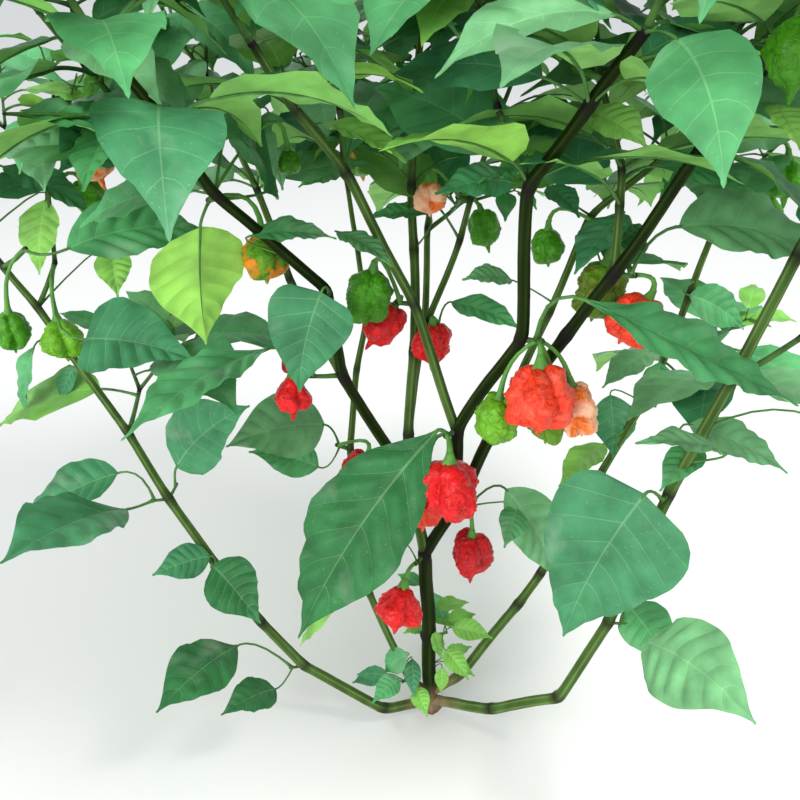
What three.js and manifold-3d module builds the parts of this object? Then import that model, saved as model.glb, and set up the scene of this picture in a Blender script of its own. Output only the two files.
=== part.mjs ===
// A chilli pepper plant with wrinkled lantern fruit, rooted in the ground.
// Millimetres, +Z up, with the origin in the middle of the flat cut under the trunk.
// An azimuth is in degrees, clockwise from +Y towards +X as seen from above.
// A rise is in degrees above the level, and a reach is [length, azimuth, rise].

import * as THREE from 'three';
import * as BufferGeometryUtils from 'three/addons/utils/BufferGeometryUtils.js';
import Module from 'manifold-3d';

const wasm = await Module();
wasm.setup();

// Driving dimensions
const CLEARANCE = 0.35;
const LEAST_HEIGHT = 4;
const SEARCH_REACH = 1;
const SMALLEST_DETAIL = 0.06;
const SAME_POINT = 1e-4;

const NODE_SWELL = 1.16;
const FLARE_RADIUS = 8.4;
const FLARE_HEIGHT = 13;
const FLOOR_SPAN = 60;
const FLOOR_DEPTH = 20;

const TWIG_RADIUS = 1.5;
const TWIG_TAPER = 0.78;
const TWIG_SIDES = 3;
const STEM_RADIUS_SHARES = [1.35, 1];
const HEEL_LENGTH = 2.5;
const ROOT_DEPTH = 2;
const ROOT_SPACING = 0.5;

const PETIOLE_WIDTH = 2.4;
const PETIOLE_ARCH = 0.45;
const PETIOLE_BEND = 0.6;
const LONG_PETIOLE = 30;
const BLADE_WIDTH = 0.56;
const BLADE_THICKNESS = 0.012;
const LEAST_THICKNESS = 1;
const BLADE_STEPS = 8;
const BLADE_STATIONS = [[110, [0, 2, 4, 6]], [84, [0, 2, 5]], [0, [0, 3]]];
const WIDENS = 0.85;
const NARROWS = 1.35;
const FOLD = 14;

const STALK_RADIUS = 1.5;
const STALK_ARCH = 0.55;
const STALK_RISE = 4;
const FRUIT_SIDES = 5;
const FRUIT_LUMP = 0.13;
const FRUIT_PROFILE = [[-0.05, 0.1], [0, 0.42], [0.12, 0.84], [0.4, 1], [0.72, 0.74], [0.88, 0.2]];
const FRUIT_TAIL = 1.04;
const FIRST_LEAN = [1, 0.2, 0.1];

// How a shoot forks and carries its leaves. A pair is the least value and the play of a throw.
const SHOOT = {
  turn: [40, 26], laterTurn: 1.1, climb: [-16, 26], leastRise: 8, mostRise: 76, length: [0.66, 0.24],
};
const FORK_LEAF = {
  turn: [60, 60], size: [0.86, 0.28], droop: [30, 30], roll: [-15, 30], petiole: [20, 16], rise: [22, -30],
};
const TUFT_LEAF = {
  turn: [66, 30], sway: [-10, 20], rise: [26, -24], droop: [30, 34], size: [0.6, 0.3], petiole: [12, 12],
  roll: [-18, 36],
};
const TUFT_LEAVES = 3;
const LEAF_SPACING = 5;
const PETIOLE_LIFT = 12;
const TWIG_FRUIT = { chance: 0.2, turn: 150, reach: 24, lift: 8, hang: -74, width: 26, length: 29 };
const OUT_OF_SPACE = 12;
const SPACE_REACH = 0.8;

const COLOURS = { stem: 0x44522c, leaf: 0x3f7f3a };

// The trunk and the boughs. Each starts at a joint of the piece that carries it, or at a
// height above the trunk's foot, and runs from joint to joint.
const LIMBS = [
  { name: 'trunk', sides: 10, radius: [5.3, 4.7], links: [[90, -80, 88], [91, -110, 87]] },
  { name: 'left_leader', on: 'trunk', joint: 2, sides: 7, radius: [4.1, 2.2],
    links: [[56, -32, 70], [41, -28, 79], [60, 13, 66], [71, -2, 67], [44, -6, 71], [48, 2, 70],
      [66, 22, 72]] },
  { name: 'right_leader', on: 'trunk', joint: 2, sides: 8, radius: [4.4, 2.8],
    links: [[48, 69, 59], [101, 122, 71], [68, 118, 60], [47, 99, 63], [84, 100, 64], [48, 100, 62]] },
  { name: 'middle_bough', on: 'right_leader', joint: 1, sides: 7, radius: [4.2, 2.7],
    links: [[79, -165, 77], [89, 122, 63], [96, -154, 82], [52, 135, 54], [40, 135, 56]] },
  { name: 'left_bough', on: 'left_leader', joint: 1, sides: 7, radius: [4.0, 1.9],
    links: [[104, -86, 62], [78, -172, 71], [95, -128, 47], [58, -166, 49], [42, -141, 54]] },
  { name: 'centre_bough', on: 'middle_bough', joint: 1, sides: 7, radius: [3.3, 2.1],
    links: [[89, -47, 64], [103, -123, 63], [44, -121, 52], [38, -121, 58]] },
  { name: 'right_fork', on: 'right_leader', joint: 4, sides: 6, radius: [2.4, 1.7],
    links: [[37, 10, 66], [20, 3, 73], [46, -40, 62]] },
  { name: 'right_back_bough', on: 'right_leader', joint: 2, sides: 6, radius: [2.6, 1.7],
    links: [[68, 40, 50], [67, 45, 58], [59, 100, 45], [52, 60, 55]] },
  { name: 'back_centre_bough', on: 'left_leader', joint: 3, sides: 6, radius: [2.5, 1.7],
    links: [[23, 42, 53], [61, 61, 67], [28, 39, 64], [56, 40, 62]] },
  { name: 'back_bough', on: 'left_leader', joint: 2, sides: 6, radius: [3.0, 1.8],
    links: [[84, 12, 42], [76, 4, 50], [66, 12, 56]] },
  { name: 'back_left_bough', on: 'left_bough', joint: 1, sides: 6, radius: [2.8, 1.8],
    links: [[74, -44, 46], [66, -34, 54], [48, -52, 58]] },
  { name: 'low_left_stem', on: 'trunk', lift: 9, sides: 7, radius: [4.8, 2.3],
    links: [[45, -112, 12], [86, -92, 42], [58, -88, 59], [59, -84, 63], [65, -64, 56], [55, -53, 51],
      [108, -58, 49], [36, -65, 47], [40, -60, 52]] },
  { name: 'thin_left_stem', on: 'trunk', lift: 17, sides: 6, radius: [3.3, 1.7],
    links: [[26, -75, 38], [92, -60, 65], [120, -16, 65], [65, 16, 66], [38, 34, 71], [60, -14, 66],
      [48, -24, 66]] },
  { name: 'low_right_back_stem', on: 'trunk', lift: 20, sides: 7, radius: [4.1, 2.2],
    links: [[30, 80, 32], [86, 74, 56], [35, 69, 58], [92, 56, 56], [75, 64, 60], [81, 47, 66], [52, 40, 62]] },
  { name: 'low_right_front_stem', on: 'trunk', lift: 9, sides: 7, radius: [5.2, 3.4],
    links: [[60, 116, 20], [72, 121, 43], [85, 84, 71], [118, 88, 79], [91, 102, 77], [78, 90, 77],
      [48, 62, 68]] },
];

// The foliage. Each mass is one stem on a joint of a limb, with what grows on it. A leaf is
// [reach of the blade's root from the joint, blade's length, azimuth, rise, droop, roll], and
// a fruit is [reach of its calyx from the joint, hang azimuth, hang rise, width, length].
const MASSES = [
  { name: 'fork_fruit_spray', on: 'trunk', joint: 2, stem: [[12, -140, -12]],
    fruits: [[[27, -133, -37], -146, -72, 35, 37]],
    leaves: [[[22, -70, 16], 32, -60, -40, 20, -20]] },
  { name: 'lower_right_spray', on: 'right_leader', joint: 1, stem: [[12, 112, 2]],
    fruits: [[[25, 145, -41], 178, -82, 31, 38]],
    leaves: [[[38, 93, 23], 92, 107, -61, 30, 44], [[44, 100, 2], 38, -160, -10, 25, -20]] },
  { name: 'centre_spray', on: 'middle_bough', joint: 1, stem: [[12, -140, 4]],
    leaves: [[[20, -116, 10], 160, -117, -52, 26, -40]],
    fruits: [[[24, -167, -20], -175, -76, 44, 48], [[40, -66, -61], -165, -74, 31, 49]] },
  { name: 'right_spray', on: 'middle_bough', joint: 2, stem: [[13, 112, 4]],
    leaves: [[[65, 147, 40], 124, 102, -17, 44, 27, 0.76]],
    fruits: [[[20, 148, -22], 174, -76, 42, 42], [[40, 101, -34], 120, -72, 28, 35],
      [[39, -117, -72], -160, -80, 27, 32], [[45, 110, -61], -160, -80, 23, 27]] },
  { name: 'left_knot_spray', on: 'centre_bough', joint: 1, stem: [[11, -80, 0]],
    fruits: [[[21, -39, -23], -120, -50, 28, 31], [[36, -97, 44], -120, -80, 30, 34]] },
  { name: 'back_knot_spray', on: 'back_centre_bough', joint: 1, stem: [[11, 120, -4]],
    fruits: [[[13, 139, -10], 180, -80, 27, 31]],
    leaves: [[[22, 80, 40], 60, 130, -4, 28, 17, 0.7]] },
  { name: 'left_twig_spray', on: 'left_bough', joint: 1, stem: [[22, -108, 8]],
    fruits: [[[34, -112, 5], -170, -80, 25, 29], [[42, -60, 14], 150, -80, 18, 20]],
    leaves: [[[53, -88, 22], 116, -141, -7, 34, -16, 0.8]] },
  { name: 'left_crook_spray', on: 'left_bough', joint: 2, stem: [[11, 170, 10]],
    leaves: [[[25, 160, 18], 66, -85, -58, 26, -46, 1.3]] },
  { name: 'left_lantern_spray', on: 'left_bough', joint: 3, stem: [[15, -30, -24]],
    leaves: [[[23, -63, -55], 80, -36, -78, 26, 0, 1.3], [[62, 20, -6], 90, -170, 30, 30, -70, 1.1]],
    fruits: [[[72, 24, 6], 180, -80, 14, 15], [[59, 21, -44], 170, -76, 26, 27]] },
  { name: 'right_knot_spray', on: 'right_leader', joint: 4, stem: [[13, 88, -4]],
    fruits: [[[31, 75, -33], -140, -76, 30, 35], [[40, 8, -13], -140, -76, 33, 36]],
    leaves: [[[46, 69, 30], 98, 90, -13, 40, 23]] },
  { name: 'right_back_spray', on: 'right_back_bough', joint: 2, stem: [[11, 180, -6]],
    fruits: [[[30, -61, -25], 166, -76, 23, 25]],
    leaves: [[[31, 152, -50], 60, 38, 7, 30, 23]] },
  { name: 'back_centre_spray', on: 'back_centre_bough', joint: 3, stem: [[11, -60, 0]],
    fruits: [[[34, -105, 26], 170, -76, 22, 22]],
    leaves: [[[38, -19, -12], 86, -26, 26, 30, -23, 1.1]] },
  { name: 'low_left_twig_spray', on: 'low_left_stem', joint: 8, stem: [[44, 126, 30]],
    fruits: [[[32, 164, -51], 180, -80, 25, 29]],
    leaves: [[[76, 118, 20], 100, 56, -5, 40, 29, 0.9]] },
  { name: 'low_left_outer_spray', on: 'low_left_stem', joint: 5, stem: [[13, -120, 14]],
    leaves: [[[32, -128, 11], 118, -160, 16, 36, -44, 1.1], [[49, -73, 7], 80, -110, -16, 30, -30]] },
  { name: 'low_left_inner_spray', on: 'low_left_stem', joint: 5, stem: [[12, 34, 40]],
    leaves: [[[24, 29, 59], 90, 104, 44, 30, 66, 1.1]] },
  { name: 'low_left_knee_spray', on: 'low_left_stem', joint: 4, stem: [[12, -170, 20]],
    leaves: [[[19, -165, 34], 62, 145, -20, 24, 30, 1.2], [[22, -110, 34], 50, -120, 8, 24, -38, 1.1]] },
  { name: 'low_left_foot_spray', on: 'low_left_stem', joint: 2, stem: [[12, -120, 20]],
    leaves: [[[52, -103, 33], 86, -149, 6, 34, -31], [[34, -126, -12], 60, -150, 16, 30, -34]] },
  { name: 'thin_left_spray', on: 'thin_left_stem', joint: 3, stem: [[11, -90, 20]],
    leaves: [[[28, -70, 41], 86, -125, 8, 34, -47, 1.1], [[29, -109, -25], 58, -97, 20, 30, -47]],
    fruits: [[[32, 150, 20], -114, -60, 32, 35]] },
  { name: 'low_right_foot_spray', on: 'low_right_front_stem', joint: 3, stem: [[13, 100, 4]],
    leaves: [[[26, 130, -1], 108, 159, 20, 40, 39], [[23, 50, 5], 60, 165, 0, 20, 28, 1.1]] },
  { name: 'low_right_knee_spray', on: 'low_right_front_stem', joint: 4, stem: [[12, -140, 10]],
    leaves: [[[24, -119, 22], 124, -106, -70, 24, -41, 1.4]] },
  { name: 'foot_right_shoot', on: 'trunk', joint: 1, stem: [[16, 100, 20]],
    leaves: [[[22, 96, 30], 34, 110, 0, 30, 20], [[20, 60, 10], 28, 60, -10, 30, 20],
      [[20, 140, 0], 30, 140, -20, 30, 20]] },
  { name: 'foot_left_shoot', on: 'thin_left_stem', joint: 1, stem: [[15, -160, 30]],
    leaves: [[[20, -150, 40], 34, -140, 4, 30, -20], [[20, -100, 20], 30, -100, -10, 30, -20],
      [[20, 160, 20], 28, 160, -6, 30, 20]] },

  { name: 'top_centre_mass', on: 'left_leader', joint: 7, stem: [[34, 18, 74]],
    grow: [48, 2, 100], seed: 11 },
  { name: 'top_back_mass', on: 'back_centre_bough', joint: 4, stem: [[32, 50, 62]],
    grow: [46, 2, 104], seed: 12 },
  { name: 'top_front_mass', on: 'middle_bough', joint: 5, stem: [[36, 160, 62]],
    grow: [50, 2, 104], seed: 13 },
  { name: 'top_middle_mass', on: 'middle_bough', joint: 3, stem: [[41, -58, 61], [45, -30, 66]],
    grow: [46, 2, 100], seed: 14,
    leaves: [[[8, -97, 10], 48, -120, 1, 30, -35, 0.8]] },
  { name: 'top_left_mass', on: 'centre_bough', joint: 4, stem: [[34, -116, 60]],
    grow: [48, 2, 104], seed: 15 },
  { name: 'top_back_left_mass', on: 'centre_bough', joint: 2, stem: [[34, -13, 72], [58, 4, 64]],
    grow: [46, 2, 100], seed: 16 },
  { name: 'front_left_mass', on: 'left_bough', joint: 5, stem: [[38, -118, 66]],
    grow: [50, 2, 104], seed: 17 },
  { name: 'left_mass', on: 'left_bough', joint: 3, stem: [[46, -84, 44], [38, -78, 50]],
    grow: [48, 2, 108], seed: 18,
    leaves: [[[78, -74, 30], 100, 128, -2, 30, 39, 0.9], [[60, -67, 29], 60, -167, -7, 30, -45, 1.1]] },
  { name: 'right_mass', on: 'right_leader', joint: 6, stem: [[34, 98, 60]],
    grow: [50, 2, 110], seed: 19 },
  { name: 'front_right_mass', on: 'right_leader', joint: 5, stem: [[48, 158, 58], [30, 150, 60]],
    grow: [48, 2, 108], seed: 20 },
  { name: 'right_fork_mass', on: 'right_fork', joint: 3, stem: [[34, -20, 66]],
    grow: [46, 2, 100], seed: 21 },
  { name: 'right_back_mass', on: 'right_back_bough', joint: 4, stem: [[32, 50, 58]],
    grow: [50, 2, 108], seed: 22 },
  { name: 'back_mass', on: 'back_bough', joint: 3, stem: [[32, 14, 56]], grow: [50, 2, 110], seed: 23 },
  { name: 'back_low_mass', on: 'back_bough', joint: 2, stem: [[34, 62, 30]],
    grow: [46, 1, 112], seed: 24 },
  { name: 'back_left_mass', on: 'back_left_bough', joint: 3, stem: [[32, -44, 56]],
    grow: [50, 2, 110], seed: 25 },
  { name: 'thin_left_mass', on: 'thin_left_stem', joint: 7, stem: [[30, -10, 62]],
    grow: [48, 2, 104], seed: 26 },
  { name: 'outer_left_mass', on: 'low_left_stem', joint: 9, stem: [[32, -64, 54]],
    grow: [52, 2, 112], seed: 27 },
  { name: 'outer_left_fork_mass', on: 'low_left_stem', joint: 7, stem: [[34, 30, 50], [60, -8, 62]],
    grow: [50, 2, 108], seed: 28,
    leaves: [[[59, 114, -5], 78, 115, -7, 40, 40, 1.4]],
    fruits: [[[18, 118, -12], 150, -80, 28, 31]] },
  { name: 'outer_left_low_mass', on: 'low_left_stem', joint: 6, stem: [[34, 10, 40]],
    grow: [46, 1, 112], seed: 29 },
  { name: 'outer_right_back_mass', on: 'low_right_back_stem', joint: 7, stem: [[32, 44, 60]],
    grow: [52, 2, 110], seed: 30 },
  { name: 'right_low_back_mass', on: 'low_right_back_stem', joint: 5, stem: [[32, 100, 36]],
    grow: [46, 1, 108], seed: 31 },
  { name: 'outer_right_mass', on: 'low_right_front_stem', joint: 7, stem: [[34, 76, 62]],
    grow: [52, 2, 112], seed: 32 },
  { name: 'outer_right_low_mass', on: 'low_right_front_stem', joint: 5, stem: [[44, 84, 36], [30, 80, 44]],
    grow: [48, 1, 114], seed: 33 },
];

// Directions and small vector helpers
function radians(degrees) {
  return degrees * Math.PI / 180;
}

function direction(azimuth, rise) {
  const level = Math.cos(radians(rise));
  return new THREE.Vector3(
    Math.sin(radians(azimuth)) * level,
    Math.cos(radians(azimuth)) * level,
    Math.sin(radians(rise)),
  );
}

function onward(point, [length, azimuth, rise]) {
  return point.clone().addScaledVector(direction(azimuth, rise), length);
}

function curvePoint(start, control, end, t) {
  const point = start.clone().multiplyScalar((1 - t) * (1 - t));
  point.addScaledVector(control, 2 * t * (1 - t));
  return point.addScaledVector(end, t * t);
}

function curveHeading(start, control, end, t) {
  const first = control.clone().sub(start).multiplyScalar(1 - t);
  return first.addScaledVector(end.clone().sub(control), t).normalize();
}

// A repeatable die for each organ: the same seed and path always give the same throws.
function dice(seed, path) {
  let state = (seed * 7919 + path * 104729) % 4294967296;
  const next = () => {
    state = (1664525 * state + 1013904223) % 4294967296;
    return state / 4294967296;
  };
  next();
  next();
  return next;
}

// Solids
function solidFromLoft(rings, tip, heel) {
  const sides = rings[0].length;
  const positions = [];
  const index = [];
  for (const ring of rings) {
    for (const point of ring) {
      positions.push(point.x, point.y, point.z);
    }
  }
  for (let row = 0; row + 1 < rings.length; row += 1) {
    for (let side = 0; side < sides; side += 1) {
      const next = (side + 1) % sides;
      const a = row * sides + side;
      const b = row * sides + next;
      const c = (row + 1) * sides + next;
      const d = (row + 1) * sides + side;
      index.push(a, b, c, a, c, d);
    }
  }
  if (heel) {
    const centre = positions.length / 3;
    positions.push(heel.x, heel.y, heel.z);
    for (let side = 0; side < sides; side += 1) {
      index.push(centre, (side + 1) % sides, side);
    }
  } else {
    for (let side = 1; side + 1 < sides; side += 1) {
      index.push(0, side + 1, side);
    }
  }
  const last = (rings.length - 1) * sides;
  if (tip) {
    const centre = positions.length / 3;
    positions.push(tip.x, tip.y, tip.z);
    for (let side = 0; side < sides; side += 1) {
      index.push(last + side, last + (side + 1) % sides, centre);
    }
  } else {
    for (let side = 1; side + 1 < sides; side += 1) {
      index.push(last, last + side, last + side + 1);
    }
  }
  const geometry = new THREE.BufferGeometry();
  geometry.setAttribute('position', new THREE.Float32BufferAttribute(positions, 3));
  geometry.setIndex(index);
  const merged = BufferGeometryUtils.mergeVertices(geometry, SAME_POINT);
  const solid = new wasm.Manifold(new wasm.Mesh({
    numProp: 3,
    vertProperties: merged.attributes.position.array,
    triVerts: new Uint32Array(merged.index.array),
  }));
  return solid;
}

function ringAt(centre, along, across, radius, sides) {
  const up = new THREE.Vector3().crossVectors(along, across);
  const ring = [];
  for (let side = 0; side < sides; side += 1) {
    const angle = 2 * Math.PI * side / sides;
    const point = centre.clone().addScaledVector(across, radius * Math.cos(angle));
    ring.push(point.addScaledVector(up, radius * Math.sin(angle)));
  }
  return ring;
}

function acrossOf(along, previous) {
  const across = previous.clone().addScaledVector(along, -previous.dot(along));
  return across.normalize();
}

// A round tube through points with a radius at each, cut square at both ends or pointed at its heel.
function tube(points, radii, sides, heel) {
  const rings = [];
  let across = new THREE.Vector3(...FIRST_LEAN);
  for (let i = 0; i < points.length; i += 1) {
    const before = points[Math.max(i - 1, 0)];
    const after = points[Math.min(i + 1, points.length - 1)];
    const along = after.clone().sub(before).normalize();
    across = acrossOf(along, across);
    rings.push(ringAt(points[i], along, across, radii[i], sides));
  }
  return solidFromLoft(rings, undefined, heel);
}

function jointsOf(start, links) {
  const joints = [start];
  for (const link of links) {
    joints.push(onward(joints[joints.length - 1], link));
  }
  return joints;
}

// Limbs
function limbSolid(limb, extra) {
  const points = [];
  const radii = [];
  const count = limb.joints.length - 1;
  for (let i = 0; i <= count; i += 1) {
    const radius = THREE.MathUtils.lerp(limb.radius[0], limb.radius[1], i / count);
    const swell = i > 0 && i < count ? NODE_SWELL : 1;
    points.push(limb.joints[i].clone());
    radii.push(radius * swell + extra);
    if (i < count) {
      const nextRadius = THREE.MathUtils.lerp(limb.radius[0], limb.radius[1], (i + 0.5) / count);
      points.push(limb.joints[i].clone().lerp(limb.joints[i + 1], 0.5));
      radii.push(nextRadius + extra);
    }
  }
  if (limb.name === 'trunk') {
    points.splice(1, 0, onward(points[0], [FLARE_HEIGHT, limb.links[0][1], limb.links[0][2]]));
    radii.splice(1, 0, limb.radius[0] + extra);
    radii[0] = FLARE_RADIUS + extra;
  }
  const last = points.length - 1;
  const endAlong = points[last].clone().sub(points[last - 1]).normalize();
  points[last].addScaledVector(endAlong, extra);
  return tube(points, radii, limb.sides);
}

function largestPiece(solid) {
  const pieces = solid.decompose().filter((piece) => piece.volume() > 0);
  pieces.sort((a, b) => b.volume() - a.volume());
  return pieces[0];
}

const limbs = new Map();

function growLimb(spec) {
  const carrier = limbs.get(spec.on);
  let start = new THREE.Vector3(0, 0, 0);
  if (carrier) {
    start = carrier.joints[spec.joint ?? 0].clone();
    start.z += spec.lift ?? 0;
  }
  const limb = { ...spec, joints: jointsOf(start, spec.links) };
  limb.grown = limbSolid(limb, CLEARANCE);
  let solid = limbSolid(limb, 0);
  for (const other of limbs.values()) {
    solid = solid.subtract(other.grown);
  }
  if (spec.name === 'trunk') {
    const floor = new THREE.BoxGeometry(FLOOR_SPAN, FLOOR_SPAN, FLOOR_DEPTH);
    solid = solid.subtract(solidFromGeometry(floor, new THREE.Vector3(0, 0, -FLOOR_DEPTH / 2)));
  }
  limb.solid = largestPiece(solid);
  limbs.set(spec.name, limb);
}

function solidFromGeometry(source, offset) {
  const bare = source.clone().translate(offset.x, offset.y, offset.z);
  bare.deleteAttribute('normal');
  bare.deleteAttribute('uv');
  const merged = BufferGeometryUtils.mergeVertices(bare, SAME_POINT);
  return new wasm.Manifold(new wasm.Mesh({
    numProp: 3,
    vertProperties: merged.attributes.position.array,
    triVerts: new Uint32Array(merged.index.array),
  }));
}

// Leaves: a petiole that curves into the midrib, and a folded blade along a drooping arc.
function leafFrames(base, [length, azimuth, rise, droop, roll], steps) {
  const frames = [];
  const side = direction(azimuth + 90, 0);
  const startRise = rise + droop / 2;
  const point = base.clone();
  for (let i = 0; i <= steps; i += 1) {
    const along = direction(azimuth, startRise - droop * i / steps);
    const normal = new THREE.Vector3().crossVectors(side, along);
    const across = side.clone().multiplyScalar(Math.cos(radians(roll)));
    across.addScaledVector(normal, -Math.sin(radians(roll)));
    const up = new THREE.Vector3().crossVectors(across, along);
    frames.push({ point: point.clone(), along, across, up });
    const middle = direction(azimuth, startRise - droop * (i + 0.5) / steps);
    point.addScaledVector(middle, length / steps);
  }
  return frames;
}

function bladeShape(t) {
  return t ** WIDENS * (1 - t) ** NARROWS;
}

function bladeHalfWidth(t, length, breadth = 1) {
  return 0.5 * BLADE_WIDTH * breadth * length * bladeShape(t) / bladeShape(WIDENS / (WIDENS + NARROWS));
}

function leafRing(centre, across, up, halfWidth, fold, thickness) {
  const lift = up.clone().multiplyScalar(Math.tan(radians(fold)) * halfWidth);
  return [
    centre.clone().addScaledVector(across, halfWidth).add(lift),
    centre.clone().addScaledVector(up, -thickness / 2),
    centre.clone().addScaledVector(across, -halfWidth).add(lift),
    centre.clone().addScaledVector(up, thickness / 2),
  ];
}

function leafSolids(root, base, blade) {
  const frames = leafFrames(base, blade, BLADE_STEPS);
  const thickness = Math.max(BLADE_THICKNESS * blade[0], LEAST_THICKNESS);
  const rings = [];
  const reach = base.distanceTo(root);
  const control = base.clone().addScaledVector(frames[0].along, -PETIOLE_ARCH * reach);
  const bends = [HEEL_LENGTH / reach];
  if (reach > LONG_PETIOLE) {
    bends.push(PETIOLE_BEND);
  }
  for (const t of bends) {
    const heading = curveHeading(root, control, base, t);
    const across = acrossOf(heading, frames[0].across);
    const up = new THREE.Vector3().crossVectors(across, heading);
    rings.push(leafRing(curvePoint(root, control, base, t), across, up, PETIOLE_WIDTH / 2, 0, PETIOLE_WIDTH));
  }
  const stations = BLADE_STATIONS.find(([least]) => blade[0] > least)[1];
  for (const station of stations) {
    const frame = frames[station];
    const halfWidth = Math.max(bladeHalfWidth(station / BLADE_STEPS, blade[0], blade[5]), PETIOLE_WIDTH / 2);
    const fold = station === 0 ? 0 : FOLD;
    rings.push(leafRing(frame.point, frame.across, frame.up, halfWidth, fold, thickness));
  }
  const tip = frames[BLADE_STEPS].point;
  return { whole: solidFromLoft(rings, tip, root), body: solidFromLoft(rings.slice(bends.length + 1), tip) };
}

// Fruit: an arching stalk, a calyx cap, a lumpy lantern and a small tail.
function fruitSolids(root, calyx, [azimuth, rise, width, length], seed) {
  const throwDie = dice(seed, 77);
  const along = direction(azimuth, rise);
  const reach = calyx.distanceTo(root);
  const control = calyx.clone().addScaledVector(along, -STALK_ARCH * reach - STALK_RISE);
  const rings = [];
  const across = acrossOf(along, new THREE.Vector3(...FIRST_LEAN));
  for (const t of [HEEL_LENGTH / reach, PETIOLE_BEND]) {
    const heading = curveHeading(root, control, calyx, t);
    const lean = acrossOf(heading, across);
    rings.push(ringAt(curvePoint(root, control, calyx, t), heading, lean, STALK_RADIUS, FRUIT_SIDES));
  }
  for (const [s, share] of FRUIT_PROFILE) {
    const centre = calyx.clone().addScaledVector(along, s * length);
    const ring = ringAt(centre, along, across, 1, FRUIT_SIDES);
    for (const point of ring) {
      const lump = s > 0 ? 1 - FRUIT_LUMP * throwDie() : 1;
      const radius = Math.max(share * width / 2, STALK_RADIUS) * lump;
      point.sub(centre).multiplyScalar(radius).add(centre);
    }
    rings.push(ring);
  }
  const tail = calyx.clone().addScaledVector(along, FRUIT_TAIL * length);
  return { whole: solidFromLoft(rings, tail, root), body: solidFromLoft(rings.slice(4), tail) };
}

// Masses of foliage
const masses = [];

function heartOf(mass) {
  const tip = mass.joints[mass.joints.length - 1];
  const last = mass.stem[mass.stem.length - 1];
  return onward(tip, [(mass.grow ? mass.grow[0] : 0) * SPACE_REACH, last[1], last[2]]);
}

function boxOf(solid) {
  const box = solid.boundingBox();
  return new THREE.Box3(new THREE.Vector3(...box.min), new THREE.Vector3(...box.max));
}

function isClear(solid, mass) {
  const box = boxOf(solid);
  if (box.min.z < LEAST_HEIGHT) {
    return false;
  }
  box.expandByScalar(CLEARANCE);
  const neighbours = [...limbs.values(), ...masses.filter((other) => other.solid && other !== mass)];
  for (const other of neighbours) {
    if (box.intersectsBox(boxOf(other.solid)) && solid.minGap(other.solid, SEARCH_REACH) < CLEARANCE) {
      return false;
    }
  }
  return true;
}

function inSpace(point, mass) {
  const own = point.distanceTo(mass.heart) - OUT_OF_SPACE;
  return masses.every((other) => other === mass || !other.grow || own < point.distanceTo(other.heart));
}

function crossesOwn(body, mass) {
  const box = boxOf(body).expandByScalar(CLEARANCE);
  const near = mass.bodies.filter((other) => box.intersectsBox(boxOf(other)));
  return near.some((other) => body.minGap(other, SEARCH_REACH) < CLEARANCE);
}

function addOrgan(mass, { whole, body }, checks, canCross) {
  const placed = checks.every((point) => inSpace(point, mass)) && isClear(whole, mass);
  const kept = placed && (canCross || !body || !crossesOwn(body, mass));
  if (kept) {
    mass.organs.push(whole);
    if (body) {
      mass.bodies.push(body);
    }
  }
  return kept;
}

function backAlong(point, azimuth, rise, length) {
  return onward(point, [-length, azimuth, rise]);
}

function pick([least, play], throwDie) {
  return least + play * throwDie();
}

function growLeaf(mass, root, azimuth, rise, petiole, size, droop, roll) {
  const base = onward(root, [petiole, azimuth, rise + PETIOLE_LIFT]);
  const blade = [size * mass.grow[2], azimuth, rise - droop / 2, droop, roll];
  const frames = leafFrames(base, blade, BLADE_STEPS);
  addOrgan(mass, leafSolids(root, base, blade), [frames[BLADE_STEPS / 2].point, frames[BLADE_STEPS].point]);
}

function growFork(mass, point, azimuth, rise, length, level, path) {
  const throwDie = dice(mass.seed, path);
  const side = path % 2 === 0 ? 1 : -1;
  const leafAzimuth = azimuth + side * pick(FORK_LEAF.turn, throwDie);
  const size = pick(FORK_LEAF.size, throwDie);
  const droop = pick(FORK_LEAF.droop, throwDie);
  const roll = pick(FORK_LEAF.roll, throwDie);
  const petiole = pick(FORK_LEAF.petiole, throwDie);
  const leafRise = pick(FORK_LEAF.rise, throwDie);
  const root = backAlong(point, azimuth, rise, LEAF_SPACING);
  growLeaf(mass, root, leafAzimuth, leafRise, petiole, size, droop, roll);
  if (throwDie() < TWIG_FRUIT.chance) {
    const knot = backAlong(point, azimuth, rise, 2 * LEAF_SPACING);
    const fruitAzimuth = leafAzimuth + TWIG_FRUIT.turn;
    const calyx = onward(knot, [TWIG_FRUIT.reach, fruitAzimuth, TWIG_FRUIT.lift]);
    const hang = [fruitAzimuth, TWIG_FRUIT.hang, TWIG_FRUIT.width, TWIG_FRUIT.length];
    addOrgan(mass, fruitSolids(knot, calyx, hang, mass.seed + path), [calyx]);
  }
  for (const way of [-1, 1]) {
    const childPath = path * 3 + (way + 3) / 2;
    const childDie = dice(mass.seed, childPath);
    const turn = pick(SHOOT.turn, childDie) / (level === 0 ? 1 : SHOOT.laterTurn);
    const climbed = rise + pick(SHOOT.climb, childDie);
    const childRise = THREE.MathUtils.clamp(climbed, SHOOT.leastRise, SHOOT.mostRise);
    const child = [length * pick(SHOOT.length, childDie), azimuth + way * turn, childRise];
    const end = onward(point, child);
    const radius = TWIG_RADIUS * TWIG_TAPER ** level;
    const heel = backAlong(point, azimuth, rise, ROOT_DEPTH);
    const neck = heel.clone().lerp(end, HEEL_LENGTH / child[0]);
    const twig = tube([neck, end], [radius, radius * TWIG_TAPER], TWIG_SIDES, heel);
    if (addOrgan(mass, { whole: twig }, [end])) {
      if (level + 1 < mass.grow[1]) {
        growFork(mass, end, child[1], childRise, child[0], level + 1, childPath);
      } else {
        growTuft(mass, end, child[1], childRise, childPath);
      }
    }
  }
}

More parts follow.
